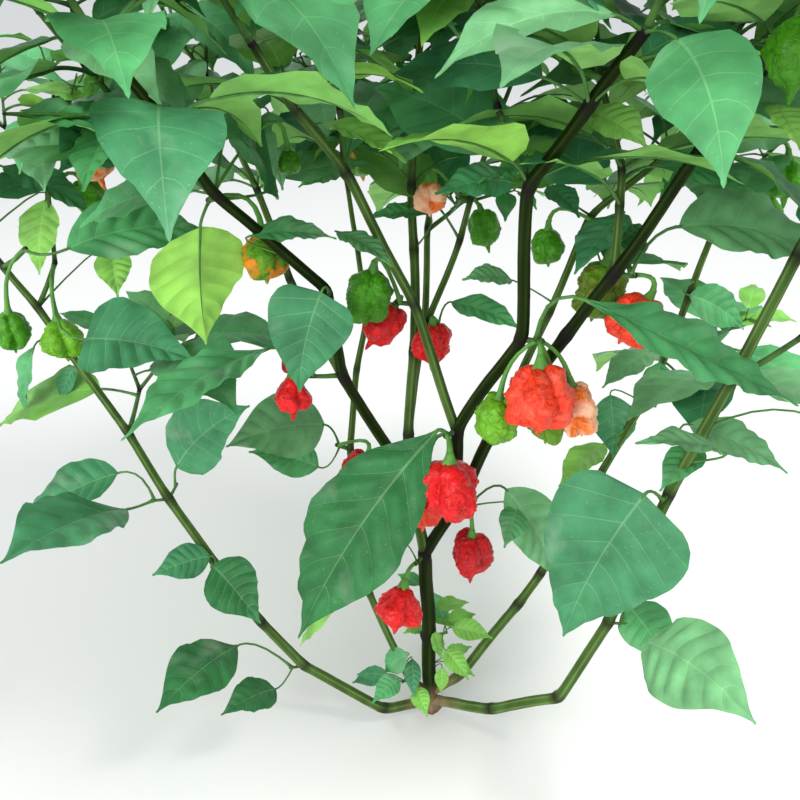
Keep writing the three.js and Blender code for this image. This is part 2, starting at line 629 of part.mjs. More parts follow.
function growTuft(mass, point, azimuth, rise, path) {
  for (let leaf = 0; leaf < TUFT_LEAVES; leaf += 1) {
    const throwDie = dice(mass.seed, path * 5 + leaf + 1000);
    const turned = azimuth + (leaf - 1) * pick(TUFT_LEAF.turn, throwDie);
    const leafAzimuth = turned + pick(TUFT_LEAF.sway, throwDie);
    const leafRise = pick(TUFT_LEAF.rise, throwDie);
    const droop = pick(TUFT_LEAF.droop, throwDie);
    const size = pick(TUFT_LEAF.size, throwDie);
    const petiole = pick(TUFT_LEAF.petiole, throwDie);
    const roll = pick(TUFT_LEAF.roll, throwDie);
    const root = backAlong(point, azimuth, rise, 1 + LEAF_SPACING * leaf);
    growLeaf(mass, root, leafAzimuth, leafRise, petiole, size, droop, roll);
  }
}

function growStem(mass) {
  const last = mass.joints.length - 1;
  const [thick, thin] = STEM_RADIUS_SHARES;
  const radii = mass.joints.map((_, i) => TWIG_RADIUS * THREE.MathUtils.lerp(thick, thin, i / last));
  let stem = tube(mass.joints, radii, TWIG_SIDES);
  for (const limb of limbs.values()) {
    stem = stem.subtract(limb.grown);
  }
  return largestPiece(stem);
}

function growMass(mass) {
  const start = limbs.get(mass.on).joints[mass.joint];
  const tip = mass.joints[mass.joints.length - 1];
  const spur = mass.joints[1];
  const back = start.clone().sub(spur).normalize();
  const roots = [];
  const nextRoot = () => {
    roots.push(spur.clone().addScaledVector(back, ROOT_DEPTH + ROOT_SPACING * roots.length));
    return roots[roots.length - 1];
  };
  mass.organs = [growStem(mass)];
  mass.bodies = [];
  for (const [reach, ...hang] of mass.fruits ?? []) {
    const seed = mass.name.length + hang[2];
    addOrgan(mass, fruitSolids(nextRoot(), onward(start, reach), hang, seed), [], true);
  }
  for (const [reach, ...blade] of mass.leaves ?? []) {
    addOrgan(mass, leafSolids(nextRoot(), onward(start, reach), blade), [], true);
  }
  if (mass.grow) {
    const [, azimuth, rise] = mass.stem[mass.stem.length - 1];
    growFork(mass, tip, azimuth, rise, mass.grow[0], 0, 1);
  }
  mass.solid = largestPiece(wasm.Manifold.union(mass.organs)).simplify(SMALLEST_DETAIL);
}

for (const spec of LIMBS) {
  growLimb(spec);
}
for (const spec of MASSES) {
  const carrier = limbs.get(spec.on);
  const mass = { ...spec, joints: jointsOf(carrier.joints[spec.joint].clone(), spec.stem) };
  mass.heart = heartOf(mass);
  masses.push(mass);
}
for (const mass of masses) {
  growMass(mass);
}

// The scene graph
const plant = new THREE.Group();

function addPiece(name, solid, colour) {
  const mesh = solid.getMesh();
  const geometry = new THREE.BufferGeometry();
  geometry.setAttribute('position', new THREE.BufferAttribute(new Float32Array(mesh.vertProperties), 3));
  geometry.setIndex(new THREE.BufferAttribute(new Uint32Array(mesh.triVerts), 1));
  const material = new THREE.MeshStandardMaterial({ color: colour, roughness: 0.6, metalness: 0 });
  const piece = new THREE.Mesh(geometry, material);
  piece.name = name;
  plant.add(piece);
}

for (const limb of limbs.values()) {
  addPiece(limb.name, limb.solid, COLOURS.stem);
}
for (const mass of masses) {
  addPiece(mass.name, mass.solid, COLOURS.leaf);
}

export default plant;
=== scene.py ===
"""A chilli pepper plant with wrinkled lantern fruit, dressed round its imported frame.

Metres, +Z up. An azimuth is in degrees, clockwise from +Y towards +X as seen from above. A rise is
in degrees above the level, and a reach is (length, azimuth, rise).
"""

import functools
import math

import bpy
import numpy as np
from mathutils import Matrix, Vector, noise
from mathutils.bvhtree import BVHTree


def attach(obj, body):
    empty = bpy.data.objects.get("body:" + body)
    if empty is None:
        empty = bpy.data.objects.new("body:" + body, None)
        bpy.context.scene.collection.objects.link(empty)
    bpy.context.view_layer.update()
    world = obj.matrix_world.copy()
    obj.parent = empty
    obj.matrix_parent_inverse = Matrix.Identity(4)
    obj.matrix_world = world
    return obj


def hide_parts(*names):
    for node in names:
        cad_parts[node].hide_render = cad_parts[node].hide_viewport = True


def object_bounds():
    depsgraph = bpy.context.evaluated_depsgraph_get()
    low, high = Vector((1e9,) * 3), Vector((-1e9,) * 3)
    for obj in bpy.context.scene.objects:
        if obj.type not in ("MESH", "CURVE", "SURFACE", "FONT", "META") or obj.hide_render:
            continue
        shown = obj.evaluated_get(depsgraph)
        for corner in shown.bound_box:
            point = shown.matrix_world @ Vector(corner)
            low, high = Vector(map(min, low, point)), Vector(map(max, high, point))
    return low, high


bl_info = {
    "name": "Chilli Pepper Plant",
    "version": (1, 0, 0),
    "blender": (4, 5, 0),
    "location": "3D View > Sidebar > Plant",
    "description": "Grows a chilli pepper plant with stems, leaves and wrinkled fruit round its frame",
    "category": "Add Mesh",
}

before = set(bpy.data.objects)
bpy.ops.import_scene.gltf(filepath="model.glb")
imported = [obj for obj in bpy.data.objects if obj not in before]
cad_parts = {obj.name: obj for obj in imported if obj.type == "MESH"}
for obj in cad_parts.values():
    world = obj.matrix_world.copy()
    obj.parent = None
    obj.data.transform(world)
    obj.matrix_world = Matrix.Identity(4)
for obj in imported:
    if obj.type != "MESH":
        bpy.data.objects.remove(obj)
CAD_LOW, CAD_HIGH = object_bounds()

# The growth rule of the plant's source
TWIG_RADIUS = 0.0015
TWIG_TAPER = 0.78
STEM_RADIUS_SHARES = (1.35, 1)
STEM_SHARE = 0.94
ROOT_DEPTH = 0.002
ROOT_SPACING = 0.0005
PETIOLE_ARCH = 0.45
PETIOLE_LIFT = 12
BLADE_WIDTH = 0.56
WIDENS = 0.85
NARROWS = 1.35
FOLD = 14
LAST_STATIONS = ((0.11, 0.75), (0.084, 0.625), (0, 0.375))
STALK_ARCH = 0.55
STALK_RISE = 0.004
FRUIT_TAIL = 1.04
NODE_SWELL = 1.16
FLARE_RADIUS = 0.0084
FLARE_HEIGHT = 0.013

SHOOT = {"turn": (40, 26), "later_turn": 1.1, "climb": (-16, 26), "rises": (8, 76), "length": (0.66, 0.24)}
FORK_LEAF = {"turn": (60, 60), "size": (0.86, 0.28), "droop": (30, 30), "roll": (-15, 30),
             "petiole": (0.02, 0.016), "rise": (22, -30)}
TUFT_LEAF = {"turn": (66, 30), "sway": (-10, 20), "rise": (26, -24), "droop": (30, 34),
             "size": (0.6, 0.3), "petiole": (0.012, 0.012), "roll": (-18, 36)}
TUFT_LEAVES = 3
LEAF_SPACING = 0.005
TWIG_FRUIT = {"chance": 0.2, "turn": 150, "reach": 0.024, "lift": 8, "hang": -74, "width": 0.026,
              "length": 0.029}

# How a blade widens from its base, narrows to its tip, and how far it is drawn out there
BLADE_FORMS = {"plain": (WIDENS, NARROWS, 0), "oval": (0.8, 1.3, 0.3), "winged": (1.2, 1.4, 0.3),
               "heart": (0.34, 1.2, 0.15), "lance": (0.95, 1.5, 0.25)}

# Finer growth than the source's, within the same reach
TIP_SHOOT = {"turn": (24, 30), "climb": (-10, 30), "length": (0.012, 0.014), "radius": 0.0008}
YOUNG_LEAF = {"turn": (70, 60), "rise": (34, -40), "droop": (20, 40), "size": (0.022, 0.03),
              "petiole": (0.005, 0.007), "roll": (-25, 50)}
SIDE_LEAF = {"turn": (55, 70), "rise": (26, -40), "droop": (24, 36), "size": (0.05, 0.04),
             "petiole": (0.01, 0.014), "roll": (-25, 50)}
SIDE_LEAVES = 4
JOINT_LEAF = {"rise": (34, -44), "droop": (24, 40), "size": (0.055, 0.045), "petiole": (0.016, 0.018),
              "roll": (-30, 60)}
JOINT_LEAVES = 5
JOINT_LEAF_HEIGHT = 0.4
FOOT_LEAF = {"rise": (44, -60), "droop": (20, 36), "size": (0.026, 0.018), "petiole": (0.008, 0.012),
             "roll": (-20, 40)}
GOLDEN_TURN = 137.5
YOUNG_LEAVES = 3
YOUNG_LENGTH = 0.055
LEAST_GAP = 0.0022
YOUNG_GAP = 0.004
LEAST_HEIGHT = 0.004
LEAF_CLEARANCE = 0.0012

# How near a point of the rule lies to its node where the node has that organ
SAME_CORNER = 0.0005
SAME_TWIG = 0.0008

# The trunk and the boughs, as in the plant's source. Each starts at a joint of the piece that carries
# it, or at a height above the trunk's foot, and runs from joint to joint. A radius is at its first and
# last joint.
LIMBS = [
    {"name": "trunk", "radius": (0.0053, 0.0047),
     "links": [(0.09, -80, 88), (0.091, -110, 87)]},
    {"name": "left_leader", "on": "trunk", "joint": 2, "radius": (0.0041, 0.0022),
     "links": [(0.056, -32, 70), (0.041, -28, 79), (0.06, 13, 66), (0.071, -2, 67), (0.044, -6, 71),
               (0.048, 2, 70), (0.066, 22, 72)]},
    {"name": "right_leader", "on": "trunk", "joint": 2, "radius": (0.0044, 0.0028),
     "links": [(0.048, 69, 59), (0.101, 122, 71), (0.068, 118, 60), (0.047, 99, 63), (0.084, 100, 64),
               (0.048, 100, 62)]},
    {"name": "middle_bough", "on": "right_leader", "joint": 1, "radius": (0.0042, 0.0027),
     "links": [(0.079, -165, 77), (0.089, 122, 63), (0.096, -154, 82), (0.052, 135, 54), (0.04, 135, 56)]},
    {"name": "left_bough", "on": "left_leader", "joint": 1, "radius": (0.004, 0.0019),
     "links": [(0.104, -86, 62), (0.078, -172, 71), (0.095, -128, 47), (0.058, -166, 49),
               (0.042, -141, 54)]},
    {"name": "centre_bough", "on": "middle_bough", "joint": 1, "radius": (0.0033, 0.0021),
     "links": [(0.089, -47, 64), (0.103, -123, 63), (0.044, -121, 52), (0.038, -121, 58)]},
    {"name": "right_fork", "on": "right_leader", "joint": 4, "radius": (0.0024, 0.0017),
     "links": [(0.037, 10, 66), (0.02, 3, 73), (0.046, -40, 62)]},
    {"name": "right_back_bough", "on": "right_leader", "joint": 2, "radius": (0.0026, 0.0017),
     "links": [(0.068, 40, 50), (0.067, 45, 58), (0.059, 100, 45), (0.052, 60, 55)]},
    {"name": "back_centre_bough", "on": "left_leader", "joint": 3, "radius": (0.0025, 0.0017),
     "links": [(0.023, 42, 53), (0.061, 61, 67), (0.028, 39, 64), (0.056, 40, 62)]},
    {"name": "back_bough", "on": "left_leader", "joint": 2, "radius": (0.003, 0.0018),
     "links": [(0.084, 12, 42), (0.076, 4, 50), (0.066, 12, 56)]},
    {"name": "back_left_bough", "on": "left_bough", "joint": 1, "radius": (0.0028, 0.0018),
     "links": [(0.074, -44, 46), (0.066, -34, 54), (0.048, -52, 58)]},
    {"name": "low_left_stem", "on": "trunk", "lift": 0.009, "radius": (0.0048, 0.0023),
     "links": [(0.045, -112, 12), (0.086, -92, 42), (0.058, -88, 59), (0.059, -84, 63),
               (0.065, -64, 56), (0.055, -53, 51), (0.108, -58, 49), (0.036, -65, 47), (0.04, -60, 52)]},
    {"name": "thin_left_stem", "on": "trunk", "lift": 0.017, "radius": (0.0033, 0.0017),
     "links": [(0.026, -75, 38), (0.092, -60, 65), (0.12, -16, 65), (0.065, 16, 66), (0.038, 34, 71),
               (0.06, -14, 66), (0.048, -24, 66)]},
    {"name": "low_right_back_stem", "on": "trunk", "lift": 0.02, "radius": (0.0041, 0.0022),
     "links": [(0.03, 80, 32), (0.086, 74, 56), (0.035, 69, 58), (0.092, 56, 56), (0.075, 64, 60),
               (0.081, 47, 66), (0.052, 40, 62)]},
    {"name": "low_right_front_stem", "on": "trunk", "lift": 0.009, "radius": (0.0052, 0.0034),
     "links": [(0.06, 116, 20), (0.072, 121, 43), (0.085, 84, 71), (0.118, 88, 79), (0.091, 102, 77),
               (0.078, 90, 77), (0.048, 62, 68)]},
]

# The foliage, as in the plant's source but for some leaves and fruit that were placed again. Each mass is
# one stem on a joint of a limb, with what grows on it. A leaf is (reach of the blade's root from the
# joint, blade's length, azimuth, rise, droop, roll, breadth, tint), and a fruit is (reach of its calyx,
# hang azimuth, hang rise, width, length, ripeness). Either may end with its form.
MASSES = [
    {"name": "fork_fruit_spray", "on": "trunk", "joint": 2, "stem": [(0.012, -140, -12)],
     "leaves": [((0.022, -70, 16), 0.032, -60, -40, 20, -20, 1, "mid")],
     "fruits": [((0.027, -133, -37), -146, -72, 0.035, 0.037, "red", "pear")]},
    {"name": "lower_right_spray", "on": "right_leader", "joint": 1, "stem": [(0.012, 112, 2)],
     "leaves": [((0.038, 93, 23), 0.092, 107, -61, 30, 44, 0.8, "dusty"),
                ((0.044, 100, 2), 0.038, -160, -10, 25, -20, 1, "light")],
     "fruits": [((0.025, 145, -41), 178, -82, 0.031, 0.038, "crimson", "dome")]},
    {"name": "centre_spray", "on": "middle_bough", "joint": 1, "stem": [(0.012, -140, 4)],
     "leaves": [((0.016, -120, 15), 0.177, -119, -52, 26, -24, 0.77, "deep", "winged")],
     "fruits": [((0.024, -167, -20), -175, -76, 0.044, 0.043, "red", "cone"),
                ((0.04, -66, -61), -165, -74, 0.031, 0.049, "scarlet")]},
    {"name": "right_spray", "on": "middle_bough", "joint": 2, "stem": [(0.013, 112, 4)],
     "leaves": [((0.065, 147, 41), 0.123, 103, -23, 4, 12, 0.66, "light", "winged")],
     "fruits": [((0.02, 148, -22), 174, -76, 0.04, 0.042, "scarlet", "cone"),
                ((0.042, 103, -40), 120, -72, 0.028, 0.035, "orange", "block"),
                ((0.039, -117, -72), -160, -80, 0.027, 0.032, "lime", "block"),
                ((0.045, 110, -61), -160, -80, 0.023, 0.027, "olive")]},
    {"name": "left_knot_spray", "on": "centre_bough", "joint": 1, "stem": [(0.011, -80, 0)],
     "fruits": [((0.021, -39, -23), -120, -50, 0.028, 0.031, "red", "dome"),
                ((0.036, -97, 45), -120, -80, 0.031, 0.037, "green")]},
    {"name": "back_knot_spray", "on": "back_centre_bough", "joint": 1, "stem": [(0.011, 120, -4)],
     "leaves": [((0.022, 80, 40), 0.06, 130, -4, 28, 17, 0.7, "light")],
     "fruits": [((0.011, 164, 20), 180, -80, 0.027, 0.031, "red", "dome")]},
    {"name": "left_twig_spray", "on": "left_bough", "joint": 1, "stem": [(0.022, -108, 8)],
     "leaves": [((0.052, -88, 22), 0.118, -140, -7, 30, 0, 0.66, "light", "winged")],
     "fruits": [((0.035, -112, 15), -170, -80, 0.025, 0.029, "red", "pear"),
                ((0.042, -60, 14), 150, -80, 0.018, 0.02, "crimson")]},
    {"name": "left_crook_spray", "on": "left_bough", "joint": 2, "stem": [(0.011, 170, 10)],
     "leaves": [((0.024, 184, 20), 0.064, -125, -73, 26, -52, 1.4, "mid", "heart")]},
    {"name": "left_lantern_spray", "on": "left_bough", "joint": 3, "stem": [(0.015, -30, -24)],
     "leaves": [((0.023, -63, -55), 0.08, -36, -78, 26, 0, 1.3, "fresh"),
                ((0.062, 20, -6), 0.09, -170, 30, 30, -70, 1.1, "deep")],
     "fruits": [((0.072, 24, 6), 180, -80, 0.014, 0.015, "green"),
                ((0.054, 21, -39), 170, -76, 0.026, 0.028, "turning")]},
    {"name": "right_knot_spray", "on": "right_leader", "joint": 4, "stem": [(0.013, 88, -4)],
     "leaves": [((0.046, 69, 30), 0.098, 90, -13, 40, 23, 1, "dusty")],
     "fruits": [((0.031, 75, -33), -104, -62, 0.03, 0.032, "scarlet", "block"),
                ((0.04, 8, -13), -140, -76, 0.033, 0.036, "olive", "block")]},
    {"name": "right_back_spray", "on": "right_back_bough", "joint": 2, "stem": [(0.011, 180, -6)],
     "leaves": [((0.031, 152, -50), 0.06, 38, 7, 30, 23, 1, "deep")],
     "fruits": [((0.03, -61, -25), 166, -76, 0.023, 0.025, "green")]},
    {"name": "back_centre_spray", "on": "back_centre_bough", "joint": 3, "stem": [(0.011, -60, 0)],
     "leaves": [((0.038, -19, -12), 0.086, -26, 26, 30, -23, 1.1, "mid")],
     "fruits": [((0.034, -105, 26), 170, -76, 0.022, 0.022, "orange")]},
    {"name": "low_left_twig_spray", "on": "low_left_stem", "joint": 8, "stem": [(0.044, 126, 30)],
     "leaves": [((0.076, 118, 20), 0.1, 56, -5, 40, 29, 0.9, "light")],
     "fruits": [((0.032, 164, -51), 180, -80, 0.025, 0.029, "green")]},
    {"name": "low_left_outer_spray", "on": "low_left_stem", "joint": 5, "stem": [(0.013, -120, 14)],
     "leaves": [((0.031, -129, 11), 0.106, -156, 19, 30, -5, 1.05, "mid", "winged"),
                ((0.045, -67, 13), 0.08, -105, -22, 24, -15, 1.03, "mid")]},
    {"name": "low_left_inner_spray", "on": "low_left_stem", "joint": 5, "stem": [(0.012, 34, 40)],
     "leaves": [((0.024, 29, 59), 0.09, 104, 44, 30, 66, 1, "mid")]},
    {"name": "low_left_knee_spray", "on": "low_left_stem", "joint": 4, "stem": [(0.012, -170, 20)],
     "leaves": [((0.02, 179, 51), 0.06, 137, -13, 24, 30, 1.17, "deep"),
                ((0.017, -135, 72), 0.042, -117, -1, 24, -35, 1.11, "mid")]},
    {"name": "low_left_foot_spray", "on": "low_left_stem", "joint": 2, "stem": [(0.012, -120, 20)],
     "leaves": [((0.058, -98, 33), 0.084, -148, 8, 34, -14, 1, "deep", "winged"),
                ((0.028, -132, -11), 0.056, -140, 22, 30, -16, 0.97, "deep")]},
    {"name": "thin_left_spray", "on": "thin_left_stem", "joint": 3, "stem": [(0.011, -90, 20)],
     "leaves": [((0.028, -70, 41), 0.086, -125, 8, 34, -47, 1.1, "dusty"),
                ((0.029, -109, -25), 0.058, -97, 20, 30, -47, 1, "light")],
     "fruits": [((0.032, 150, 20), -114, -60, 0.032, 0.035, "crimson", "dome")]},
    {"name": "low_right_foot_spray", "on": "low_right_front_stem", "joint": 3, "stem": [(0.013, 100, 4)],
     "leaves": [((0.026, 130, -1), 0.108, 159, 20, 40, 39, 1, "dusty", "winged"),
                ((0.023, 50, 5), 0.06, 165, 0, 20, 28, 1.1, "light")]},
    {"name": "low_right_knee_spray", "on": "low_right_front_stem", "joint": 4, "stem": [(0.012, -140, 10)],
     "leaves": [((0.024, -119, 22), 0.124, -106, -70, 24, -41, 1.32, "mid", "heart")]},
    {"name": "foot_right_shoot", "on": "trunk", "joint": 1, "stem": [(0.016, 100, 20)],
     "leaves": [((0.022, 96, 30), 0.034, 110, 0, 30, 20, 1, "young"),
                ((0.02, 60, 10), 0.028, 60, -10, 30, 20, 1, "young"),
                ((0.02, 140, 0), 0.03, 140, -20, 30, 20, 1, "young")], "foot_leaves": 9},
    {"name": "foot_left_shoot", "on": "thin_left_stem", "joint": 1, "stem": [(0.015, -160, 30)],
     "leaves": [((0.02, -150, 40), 0.034, -140, 4, 30, -20, 1, "light"),
                ((0.02, -100, 20), 0.03, -100, -10, 30, -20, 1, "mid"),
                ((0.02, 160, 20), 0.028, 160, -6, 30, 20, 1, "young")], "foot_leaves": 9},
    {"name": "top_centre_mass", "on": "left_leader", "joint": 7, "stem": [(0.034, 18, 74)],
     "grow": (0.048, 2, 0.1), "seed": 11},
    {"name": "top_back_mass", "on": "back_centre_bough", "joint": 4, "stem": [(0.032, 50, 62)],
     "grow": (0.046, 2, 0.104), "seed": 12},
    {"name": "top_front_mass", "on": "middle_bough", "joint": 5, "stem": [(0.036, 160, 62)],
     "grow": (0.05, 2, 0.104), "seed": 13},
    {"name": "top_middle_mass", "on": "middle_bough", "joint": 3,
     "stem": [(0.041, -58, 61), (0.045, -30, 66)],
     "grow": (0.046, 2, 0.1), "seed": 14,
     "leaves": [((0.008, -97, 10), 0.048, -120, 1, 30, -35, 0.8, "mid")]},
    {"name": "top_left_mass", "on": "centre_bough", "joint": 4, "stem": [(0.034, -116, 60)],
     "grow": (0.048, 2, 0.104), "seed": 15},
    {"name": "top_back_left_mass", "on": "centre_bough", "joint": 2,
     "stem": [(0.034, -13, 72), (0.058, 4, 64)],
     "grow": (0.046, 2, 0.1), "seed": 16},
    {"name": "front_left_mass", "on": "left_bough", "joint": 5, "stem": [(0.038, -118, 66)],
     "grow": (0.05, 2, 0.104), "seed": 17},
    {"name": "left_mass", "on": "left_bough", "joint": 3, "stem": [(0.046, -84, 44), (0.038, -78, 50)],
     "grow": (0.048, 2, 0.108), "seed": 18,
     "leaves": [((0.078, -74, 30), 0.1, 128, -2, 30, 39, 0.9, "light"),
                ((0.06, -67, 29), 0.06, -167, -7, 30, -45, 1.1, "mid")]},
    {"name": "right_mass", "on": "right_leader", "joint": 6, "stem": [(0.034, 98, 60)],
     "grow": (0.05, 2, 0.11), "seed": 19},
    {"name": "front_right_mass", "on": "right_leader", "joint": 5,
     "stem": [(0.048, 158, 58), (0.03, 150, 60)],
     "grow": (0.048, 2, 0.108), "seed": 20},
    {"name": "right_fork_mass", "on": "right_fork", "joint": 3, "stem": [(0.034, -20, 66)],
     "grow": (0.046, 2, 0.1), "seed": 21},
    {"name": "right_back_mass", "on": "right_back_bough", "joint": 4, "stem": [(0.032, 50, 58)],
     "grow": (0.05, 2, 0.108), "seed": 22},
    {"name": "back_mass", "on": "back_bough", "joint": 3, "stem": [(0.032, 14, 56)],
     "grow": (0.05, 2, 0.11), "seed": 23},
    {"name": "back_low_mass", "on": "back_bough", "joint": 2, "stem": [(0.034, 62, 30)],
     "grow": (0.046, 1, 0.112), "seed": 24},
    {"name": "back_left_mass", "on": "back_left_bough", "joint": 3, "stem": [(0.032, -44, 56)],
     "grow": (0.05, 2, 0.11), "seed": 25},
    {"name": "thin_left_mass", "on": "thin_left_stem", "joint": 7, "stem": [(0.03, -10, 62)],
     "grow": (0.048, 2, 0.104), "seed": 26},
    {"name": "outer_left_mass", "on": "low_left_stem", "joint": 9, "stem": [(0.032, -64, 54)],
     "grow": (0.052, 2, 0.112), "seed": 27},
    {"name": "outer_left_fork_mass", "on": "low_left_stem", "joint": 7,
     "stem": [(0.034, 30, 50), (0.06, -8, 62)],
     "grow": (0.05, 2, 0.108), "seed": 28,
     "leaves": [((0.058, 129, -6), 0.08, 103, -5, 30, 30, 1.3, "mid", "heart")],
     "fruits": [((0.018, 118, -12), 150, -80, 0.028, 0.031, "lime")]},
    {"name": "outer_left_low_mass", "on": "low_left_stem", "joint": 6, "stem": [(0.034, 10, 40)],
     "grow": (0.046, 1, 0.112), "seed": 29},
    {"name": "outer_right_back_mass", "on": "low_right_back_stem", "joint": 7, "stem": [(0.032, 44, 60)],
     "grow": (0.052, 2, 0.11), "seed": 30},
    {"name": "right_low_back_mass", "on": "low_right_back_stem", "joint": 5, "stem": [(0.032, 100, 36)],
     "grow": (0.046, 1, 0.108), "seed": 31},
    {"name": "outer_right_mass", "on": "low_right_front_stem", "joint": 7, "stem": [(0.034, 76, 62)],
     "grow": (0.052, 2, 0.112), "seed": 32},
    {"name": "outer_right_low_mass", "on": "low_right_front_stem", "joint": 5,
     "stem": [(0.044, 84, 36), (0.03, 80, 44)],
     "grow": (0.048, 1, 0.114), "seed": 33},
]

# Where the plant is seen from in the photograph
CAMERA_PLACE = (-0.0264, -0.441, 0.589)
CAMERA_PITCH = 31.7
CAMERA_LENS = 35
SENSOR_WIDTH = 36
PHOTO_SIZE = 800
LIMB_SIGHT = 0.014
FRUIT_SIGHT = 0.008
OPEN_TOP = 0.27

# Leaves that sit on a limb itself, as read off the photograph: the pixels where a blade starts
# and ends, how many pixels wide it looks, and roughly how far ahead of the lens its limb is, in metres.
# A swing is how much further than its root a tip may be. A leaf with a breadth has that one.
SWINGS = {"slight": (-0.015, 0, 0.015), "some": (-0.02, 0, 0.02), "onward": (-0.02, 0, 0.02, 0.04),
          "more": (-0.03, -0.01, 0.01, 0.03), "most": (-0.04, -0.02, 0, 0.02, 0.04)}
BOUGH_SIGHTS = [
    dict(root=(20, 114), tip=(183, 161), wide=26, far=0.43, swing="most", tint="light", form="lance"),
    dict(root=(104, 151), tip=(0, 160), wide=38, far=0.46, swing="more", tint="dusty"),
    dict(root=(112, 128), tip=(84, 192), wide=46, far=0.45, swing="more", tint="light"),
    dict(root=(150, 140), tip=(184, 184), wide=30, far=0.5, tint="light"),
    dict(root=(2, 166), tip=(96, 222), wide=30, far=0.5, swing="onward", tint="mid", form="lance"),
    dict(root=(112, 250), tip=(118, 298), wide=38, far=0.58, tint="fresh"),
    dict(root=(46, 200), tip=(40, 275), wide=40, far=0.58, tint="fresh"),
    dict(root=(268, 112), tip=(282, 192), wide=42, far=0.5, tint="dusty"),
    dict(root=(322, 124), tip=(407, 165), wide=24, far=0.46, swing="more", tint="fresh", form="lance"),
    dict(root=(428, 112), tip=(400, 170), wide=56, far=0.48, tint="dusty"),
    dict(root=(468, 134), tip=(424, 150), wide=22, far=0.52, tint="light"),
    dict(root=(521, 172), tip=(444, 198), wide=24, far=0.42, swing="more", tint="light", form="lance"),
    dict(root=(252, 236), tip=(338, 240), wide=24, far=0.46, tint="light", form="lance"),
    dict(root=(338, 232), tip=(392, 268), wide=26, far=0.5, tint="dusty"),
    dict(root=(426, 214), tip=(366, 220), wide=16, far=0.55, tint="light", form="lance"),
    dict(root=(512, 280), tip=(463, 280), wide=20, far=0.58, tint="dusty"),
    dict(root=(340, 172), tip=(298, 188), wide=20, far=0.55, tint="light"),
    dict(root=(590, 112), tip=(648, 150), wide=40, far=0.45, tint="fresh"),
    dict(root=(655, 166), tip=(753, 191), wide=30, far=0.42, swing="more", tint="light", form="winged"),
    dict(root=(700, 168), tip=(705, 212), wide=40, far=0.5, tint="dusty"),
    dict(root=(622, 214), tip=(574, 276), wide=38, far=0.5, tint="mid"),
    dict(root=(690, 296), tip=(744, 332), wide=40, far=0.5, tint="light"),
    dict(root=(548, 186), tip=(578, 218), wide=26, far=0.5, tint="mid"),
    dict(root=(610, 395), tip=(612, 458), wide=34, far=0.56, tint="mid", breadth=1.25),
    dict(root=(650, 352), tip=(602, 390), wide=30, far=0.55, tint="dusty"),
    dict(root=(660, 362), tip=(656, 408), wide=32, far=0.55, tint="light", form="winged"),
    dict(root=(724, 452), tip=(636, 442), wide=28, far=0.5, swing="more", tint="dusty"),
    dict(root=(700, 446), tip=(660, 492), wide=36, far=0.5, tint="light"),
    dict(root=(690, 424), tip=(787, 474), wide=40, far=0.5, tint="dusty"),
    dict(root=(604, 444), tip=(560, 488), wide=30, far=0.52, tint="fresh"),
    dict(root=(333, 612), tip=(300, 648), wide=14, far=0.6, tint="fresh", form="lance"),
    dict(root=(774, 104), tip=(800, 150), wide=36, far=0.4, tint="fresh"),
]

# A leaf just beyond the photograph's right edge: its limb, how far along it, its reach from
# there, then its length, azimuth, rise, droop, roll and breadth
EDGE_LEAF = {"on": "low_right_front_stem", "joint": 4, "share": 0.6, "reach": (0.062, 92, 9),
             "blade": (0.06, 110, -30, 30, 20, 0.9), "tint": "mid"}
HANGING_SIGHTS = [
    dict(root=(33, 348), tip=(28, 420), wide=15, far=0.53, tint="light", form="lance"),
    dict(root=(76, 366), tip=(60, 406), wide=18, far=0.55, tint="mid", form="lance"),
]

# The small leaves round the foot of the trunk, read in the same way
FOOT_SIGHTS = [
    dict(root=(437, 608), tip=(469, 603), wide=15, far=0.645, tint="young"),
    dict(root=(433, 621), tip=(464, 622), wide=14, far=0.645, tint="young"),
    dict(root=(434, 631), tip=(441, 659), wide=13, far=0.64, tint="young"),
    dict(root=(446, 656), tip=(472, 647), wide=14, far=0.66, tint="young"),
    dict(root=(447, 662), tip=(475, 676), wide=15, far=0.66, tint="young"),
    dict(root=(442, 667), tip=(441, 693), wide=14, far=0.66, tint="young"),
    dict(root=(424, 627), tip=(403, 633), wide=14, far=0.645, tint="young"),
    dict(root=(420, 585), tip=(398, 575), wide=14, far=0.64, tint="light"),
    dict(root=(408, 655), tip=(385, 673), wide=26, far=0.665, tint="light"),
    dict(root=(412, 659), tip=(413, 697), wide=17, far=0.665, tint="mid"),
]

# What such a leaf is likely to be, and what each departure from it counts
BOUGH_HABIT = {"petiole": 0.026, "length": 0.09, "swing": "some"}
FOOT_HABIT = {"petiole": 0.016, "length": 0.03, "swing": "slight"}
PETIOLES = (0.006, 0.12)
LENGTHS = (0.014, 0.15)
USUAL_BREADTH = 0.95
BREADTHS = (0.6, 1.5)
SEEN_DROOP = 30
SEEN_SHARE = 0.42
SEEN_ROLLS = np.arange(-80, 81, 10)
DEPTH_STEPS = (-0.02, -0.01, 0, 0.01, 0.02)
DEPTH_PLAY = 0.09
EASY_HANG = 0.3
LEAST_TIP_HEIGHT = 0.006
LEAST_LIFT = 0.05
LEAST_PIXELS = {"length": 4, "width": 1}
COSTS = {"petiole": 18, "hang": 0.6, "depth": 4, "breadth": 1.4, "roll": 1 / 130, "length": 3,
         "turned_over": 1.2, "turned_away": 0.4}

